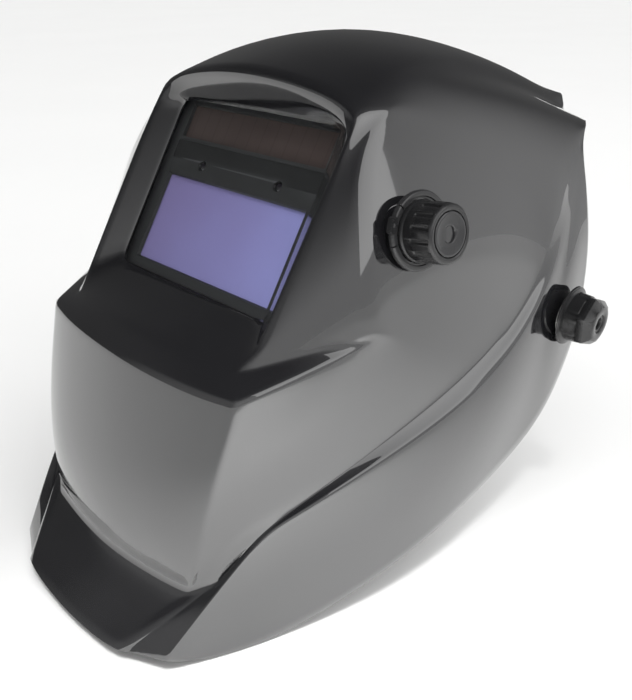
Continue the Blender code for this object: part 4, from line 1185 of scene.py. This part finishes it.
def make_crown_straps():
    for label, lean, radius in (("front", -STRAP_LEAN, 98.0), ("rear", STRAP_LEAN, 101.0)):
        for side, name in ((1, "left"), (-1, "right")):
            lift = 0.0 if side > 0 else 1.9
            points, ups = strap_path(lean, radius + lift, 12, 101, 60)
            if side < 0:
                points = [Vector((-p.x, p.y, p.z)) for p in points]
            strap = piece("crown_%s_%s" % (label, name), banded(points, ups, 1.5, -8.5, 8.5, 8.0), HEAD, STRAP_SKIN,
                          "headgear", ["crown_strap_%s_%s" % (label, name)], sharp_angle=50)
            normals = path_normals(points, ups)
            spots = [(points[i], normals[i], points[i + 1] - points[i - 1]) for i in range(28, 58, 5)]
            drilled(strap, "crown_holes_%s_%s" % (label, name), HEAD, spots, 2.0, "headgear")
            stud = turned_about(HEAD, (0, math.copysign(STUD_BACK, lean), STUD_HEIGHT), 90 * side, "Y")
            piece("crown_stud_%s_%s" % (label, name), turned([
                (79.2, 3.4), (80.2, 4.2), (81.6, 4.2), (82.6, STUD_RADIUS), (86.9, STUD_RADIUS), (86.9, 3.6),
                (87.6, 3.4), (88.1, 2.7), (88.3, 1.4)], 48), stud, STRAP_SKIN, "headgear",
                sharp_angle=50)
        top = turned_about(HEAD, (0, 0, 0), -lean, "X")
        piece("crown_button_" + label, turned([
            (radius + 3.1, 4.3), (radius + 3.4, 4.5), (radius + 4.2, 4.5), (radius + 4.8, 3.9), (radius + 5.0, 2.6),
            (radius + 4.7, 1.6)], 48), top, STRAP_SKIN, "headgear", ["crown_peg_" + label],
            sharp_angle=50)


# ---------------------------------------------------------------- ratchet
def curved(first, last, inner, outer, low, high, count=32):
    """A block bent round the nape arc's centre."""
    path = nape_arc(1, (inner + outer) / 2, first, last, count)
    centre = Vector((0, NAPE_CENTRE, 0))
    normals = [(p - centre).normalized() for p in path]
    half = (outer - inner) / 2
    return swept(path, normals, [UP] * len(path), lambda i: [(half, low), (half, high), (-half, high), (-half, low)])


def make_ratchet():
    back_axis = turned_about(NAPE, (0, NAPE_CENTRE, 0), -90, "X")
    split = TAIL_RADIUS + 1.4
    inner = piece("ratchet_inner", curved(66, 114, 77.0, split, -17, 17), NAPE, SATIN, "headgear",
                  ["ratchet_inner_case"], bevel=0.7)
    cut(inner, [guide("inner_channel", curved(60, 120, TAIL_RADIUS - 1.3, split + 3, -9.2, 9.2), NAPE, "headgear")])
    outer = piece("ratchet_outer", curved(66, 114, split + 0.3, 86.6, -17, 17), NAPE, SATIN, "headgear",
                  ["ratchet_outer_case"], bevel=0.9)
    grooves = joined([curved(67.5 + 2.2 * i, 68.5 + 2.2 * i, 86.0, 89, -14, 14, 2) for i in range(3)]
                     + [curved(111.5 - 2.2 * i, 112.5 - 2.2 * i, 86.0, 89, -14, 14, 2) for i in range(3)])
    cut(outer, [guide("spindle_hole", turned([(70, 5.6), (100, 5.6)], 48), back_axis, "headgear"),
                guide("case_grooves", grooves, NAPE, "headgear")])
    screws = []
    for angle in (75, 105):
        for z in (-13.2, 13.2):
            turn = math.radians(angle)
            spot = Vector((86.5 * math.cos(turn), NAPE_CENTRE + 86.5 * math.sin(turn), z))
            direction = Vector((math.cos(turn), math.sin(turn), 0))
            place = Matrix.Translation(spot) @ Vector((0, 0, 1)).rotation_difference(direction).to_matrix().to_4x4()
            screws.append(moved(turned([(-0.2, 2.0), (0.35, 2.0), (0.7, 1.6), (0.7, 0.8), (0.3, 0.6)], 32), place))
    piece("case_screws", joined(screws), NAPE, STEEL_SKIN, "headgear")
    NODES["ratchet_pinion"].data.materials[0] = STEEL_SKIN
    top = RATCHET_FACE - NAPE_CENTRE

    def scalloped(radius, deep):
        def at(angle):
            wave = 0.5 + 0.5 * math.cos(16 * angle)
            return radius - deep * wave ** 3
        return at

    piece("ratchet_grip", turned([
        (top - 3.5, 3.5), (top - 14.6, 3.5), (top - 14.6, 15.6), (top - 14.2, 16.6), (top - 12.9, 17.8),
        (top - 12.4, scalloped(19.4, 0.9)), (top - 11.4, scalloped(RATCHET_RADIUS, 1.2)),
        (top - 3.2, scalloped(RATCHET_RADIUS, 1.2)), (top - 1.9, scalloped(19.7, 1.1)), (top - 0.8, 18.4),
        (top - 0.1, 17.0), (top, 15.2), (top - 0.1, 13.6), (top - 0.8, 12.6), (top - 1.5, 11.8), (top - 1.7, 10.0),
        (top - 1.5, 6.0), (top - 1.3, 5.2), (top - 1.4, 4.2)], 192), back_axis, SATIN, "ratchet_knob",
        ["ratchet_knob"], sharp_angle=40)
    arrows = []
    for start in (20, 140, 260):
        for step in range(12):
            angle = math.radians(start + 5 * step)
            bar = slab((14.2, -0.62, top - 0.35), (15.6, 0.62, top + 0.12))
            arrows.append(moved(bar, Matrix.Rotation(angle, 4, "Z")))
        tip = bmesh.new()
        corners = [tip.verts.new(p) for z in (top - 0.35, top + 0.12)
                   for p in ((13.0, 0, z), (16.8, 0, z), (14.9, 3.4, z))]
        tip.faces.new(corners[2::-1])
        tip.faces.new(corners[3:])
        for k in range(3):
            m = (k + 1) % 3
            tip.faces.new((corners[k], corners[m], corners[m + 3], corners[k + 3]))
        arrows.append(moved(tip, Matrix.Rotation(math.radians(start + 58), 4, "Z")))
    piece("ratchet_arrows", joined(arrows), back_axis, SATIN, "ratchet_knob")


# ---------------------------------------------------------------- soft pads
def pad_outline(thick, low, high, seam=1.6, count=13):
    """A stuffed cross-section: crowned on the head side, nearly flat on the band's, thin at its sewn edges."""
    points = []
    for i in range(count):
        share = i / (count - 1)
        up = low + (high - low) * share
        edge = min(share, 1 - share) * 2
        crown = (1 - (1 - edge) ** 3.2)
        points.append((-thick * 0.12 - thick * 0.34 * crown, up))
    for i in range(count - 2, 0, -1):
        share = i / (count - 1)
        up = low + (high - low) * share
        edge = min(share, 1 - share) * 2
        points.append((thick * 0.10 + thick * 0.30 * min(1.0, edge * seam), up))
    return points


def make_pad(name, node, place, path, normals, ups, thick, low, high, channels, roll=6.0):
    """A sewn towelling pad along a path, quilted across at the channels, with stitched and bound edges."""
    count = len(path)
    lengths = [0.0]
    for first, second in zip(path, path[1:]):
        lengths.append(lengths[-1] + (second - first).length)
    total = lengths[-1]

    def swell(i):
        near = min(lengths[i], total - lengths[i])
        ends = math.sqrt(max(0.0, 1 - max(0.0, 1 - near / roll) ** 2))
        pinch = 1.0
        for channel in channels:
            gap = abs(lengths[i] - channel * total)
            pinch -= 0.42 * math.exp(-(gap / 1.9) ** 2)
        return max(0.32, ends * pinch)

    def outline(i):
        fat = swell(i)
        points = []
        for out, up in pad_outline(thick, low, high):
            spot = path[i] + ups[i] * up
            wrinkle = noise.noise(spot * 0.09) * 0.35 + noise.noise(spot * 0.31) * 0.16
            points.append((out * fat + wrinkle * fat, up + 0.35 * noise.noise(spot * 0.05)))
        return points

    pad = piece(name, swept(path, normals, ups, outline), place, TOWEL_SKIN, "headgear", [node],
                smooth=1)
    stitches = []
    for edge in (low + 2.3, high - 2.3):
        walked = 0.0
        for i in range(2, count - 2):
            walked += (path[i] - path[i - 1]).length
            if walked < 2.6:
                continue
            walked = 0.0
            fat = swell(i)
            share = (edge - low) / (high - low)
            near = min(share, 1 - share) * 2
            out = -(thick * 0.12 + thick * 0.34 * (1 - (1 - near) ** 3.2)) * fat - 0.02
            spot = path[i] + ups[i] * edge + normals[i] * out
            ahead = (path[i + 1] - path[i - 1]).normalized()
            stitch = bmesh.new()
            bmesh.ops.create_icosphere(stitch, subdivisions=2, radius=1.0)
            turn = Matrix((ahead, ups[i], ahead.cross(ups[i]))).transposed().to_4x4()
            stitches.append(moved(stitch, Matrix.Translation(spot) @ turn @ Matrix.Diagonal((0.95, 0.24, 0.24, 1))))
    piece(name + "_stitches", joined(stitches), place, thread(), "headgear")
    for label, edge in (("lower", low), ("upper", high)):
        def bound(i):
            fat = swell(i)
            return [(1.15 * fat * math.cos(a) - 0.1, edge + 0.85 * math.sin(a))
                    for a in np.linspace(0, 2 * math.pi, 12, endpoint=False)]
        piece("%s_binding_%s" % (name, label), swept(path, normals, ups, bound), place, TOWEL_SKIN, "headgear",
              smooth=1)
    return pad


def make_pads():
    path = brow_path(inset=4.6, reach=72, count=150)
    ups = [UP] * len(path)
    make_pad("brow_pad", "sweatband", HEAD, path, path_normals(path, ups), ups, 6.0, -15.4, 15.4,
             (0.14, 0.26, 0.38, 0.5, 0.62, 0.74, 0.86))
    path = nape_arc(1, 73.4, 64, 116, 90)
    centre = Vector((0, NAPE_CENTRE, 0))
    normals = [(p - centre).normalized() for p in path]
    ups = [UP] * len(path)
    make_pad("nape_cushion", "nape_pad", NAPE, path, normals, ups, 5.9, -20.4, 20.4, (0.25, 0.5, 0.75))


def make_small_parts():
    for node in ("shade_nut", "shade_shaft", "potentiometer"):
        NODES[node].data.materials[0] = STEEL_SKIN
    NODES["shade_housing"].data.materials[0] = SATIN


# ---------------------------------------------------------------- stage, light and camera
CAMERA_PLACE = (0.2504, -0.2675, 0.2701)
CAMERA_PITCH = 28.2            # degrees below the horizon
CAMERA_HEADING = 43.6          # degrees from +Y towards -X
CAMERA_LENS = 37.03
FLOOR_RADIUS = 25.0


def make_stage():
    bm = bmesh.new()
    bmesh.ops.create_circle(bm, cap_ends=True, segments=96, radius=FLOOR_RADIUS)
    mesh = bpy.data.meshes.new("floor")
    bm.to_mesh(mesh)
    bm.free()
    floor = bpy.data.objects.new("floor", mesh)
    floor.location.z = -0.0005
    mesh.materials.append(pale_floor())
    bpy.context.scene.collection.objects.link(floor)


def lamp(name, kind, place, target, power, unseen="", **shape):
    """A light aimed at a point, left out of the named kinds of ray."""
    data = bpy.data.lights.new(name, kind)
    data.energy = power
    for setting, value in shape.items():
        setattr(data, setting, value)
    made = bpy.data.objects.new(name, data)
    made.location = place
    made.rotation_euler = (Vector(target) - Vector(place)).to_track_quat("-Z", "Y").to_euler()
    made.visible_camera = False
    made.visible_diffuse = unseen != "diffuse"
    made.visible_glossy = unseen != "glossy"
    bpy.context.scene.collection.objects.link(made)


def make_world():
    """Walls that are pale to look at, lit on the wearer's left and in front, and dim elsewhere."""
    world = bpy.data.worlds.new("studio")
    bpy.context.scene.world = world
    world.use_nodes = True
    tree = world.node_tree
    place = tree.nodes.new("ShaderNodeTexCoord")
    split = tree.nodes.new("ShaderNodeSeparateXYZ")
    tree.links.new(place.outputs["Generated"], split.inputs[0])

    def ramp(value, spans):
        swing = tree.nodes.new("ShaderNodeMapRange")
        swing.interpolation_type = "SMOOTHSTEP"
        tree.links.new(value, swing.inputs["Value"])
        for socket, number in zip(("From Min", "From Max", "To Min", "To Max"), spans):
            swing.inputs[socket].default_value = number
        return swing.outputs["Result"]

    def combined(first, second, operation):
        made = tree.nodes.new("ShaderNodeMath")
        made.operation = operation
        tree.links.new(first, made.inputs[0])
        tree.links.new(second, made.inputs[1])
        return made.outputs[0]

    left = ramp(split.outputs["X"], (-0.2, 0.75, 0.08, 0.8))
    front = ramp(split.outputs["Y"], (-0.5, -0.9, 0.0, 0.35))
    walls = combined(combined(left, front, "MAXIMUM"), ramp(split.outputs["Z"], (0.3, 0.9, 1.0, 0.3)), "MULTIPLY")
    seen = tree.nodes.new("ShaderNodeLightPath")
    pick = tree.nodes.new("ShaderNodeMix")
    tree.links.new(seen.outputs["Is Camera Ray"], pick.inputs["Factor"])
    tree.links.new(walls, pick.inputs["A"])
    pick.inputs["B"].default_value = 0.95
    tree.links.new(pick.outputs["Result"], tree.nodes["Background"].inputs["Color"])


def make_light():
    """Soft studio light: an even sky, a softbox on the wearer's left and a pool of light on the table."""
    make_world()
    lamp("sky", "SUN", (-0.2, 0.3, 2.0), (0, 0, 0), 2.3, "glossy", angle=math.radians(80))
    lamp("rear_sky", "SUN", (0.3, 2.0, 0.9), (0, 0, 0), 1.6, "glossy", angle=math.radians(60))
    lamp("left_box", "AREA", (1.5, 0.15, 1.2), (0, 0, 0.1), 10, shape="RECTANGLE", size=1.8, size_y=1.4)
    lamp("table_pool", "SPOT", (0.5, -0.4, 1.5), (0.3, -0.26, 0), 190, "glossy", spot_size=math.radians(27),
         spot_blend=1.0, shadow_soft_size=0.15)
    bpy.context.scene.view_settings.view_transform = "Standard"


def make_camera():
    data = bpy.data.cameras.new("camera")
    data.lens = CAMERA_LENS
    data.sensor_width = 36.0
    camera = bpy.data.objects.new("camera", data)
    camera.location = CAMERA_PLACE
    camera.rotation_euler = (math.radians(90 - CAMERA_PITCH), 0, math.radians(CAMERA_HEADING))
    bpy.context.scene.collection.objects.link(camera)
    bpy.context.scene.camera = camera


SHELL_LEVEL = 3
SATIN = satin_black("satin_nylon", (0.009, 0.009, 0.0095), 0.27, wear=0.25)
STRAP_SKIN = pebbled_strap()
STEEL_SKIN = steel()
TOWEL_SKIN = towelling()

make_shell()
make_cartridge()
make_lenses_and_holder()
make_shade_control()
for pivot_side, pivot_name in ((1, "left"), (-1, "right")):
    make_pivot(pivot_side, pivot_name)
make_bands()
make_crown_straps()
make_ratchet()
make_pads()
make_small_parts()
make_stage()
make_light()
make_camera()
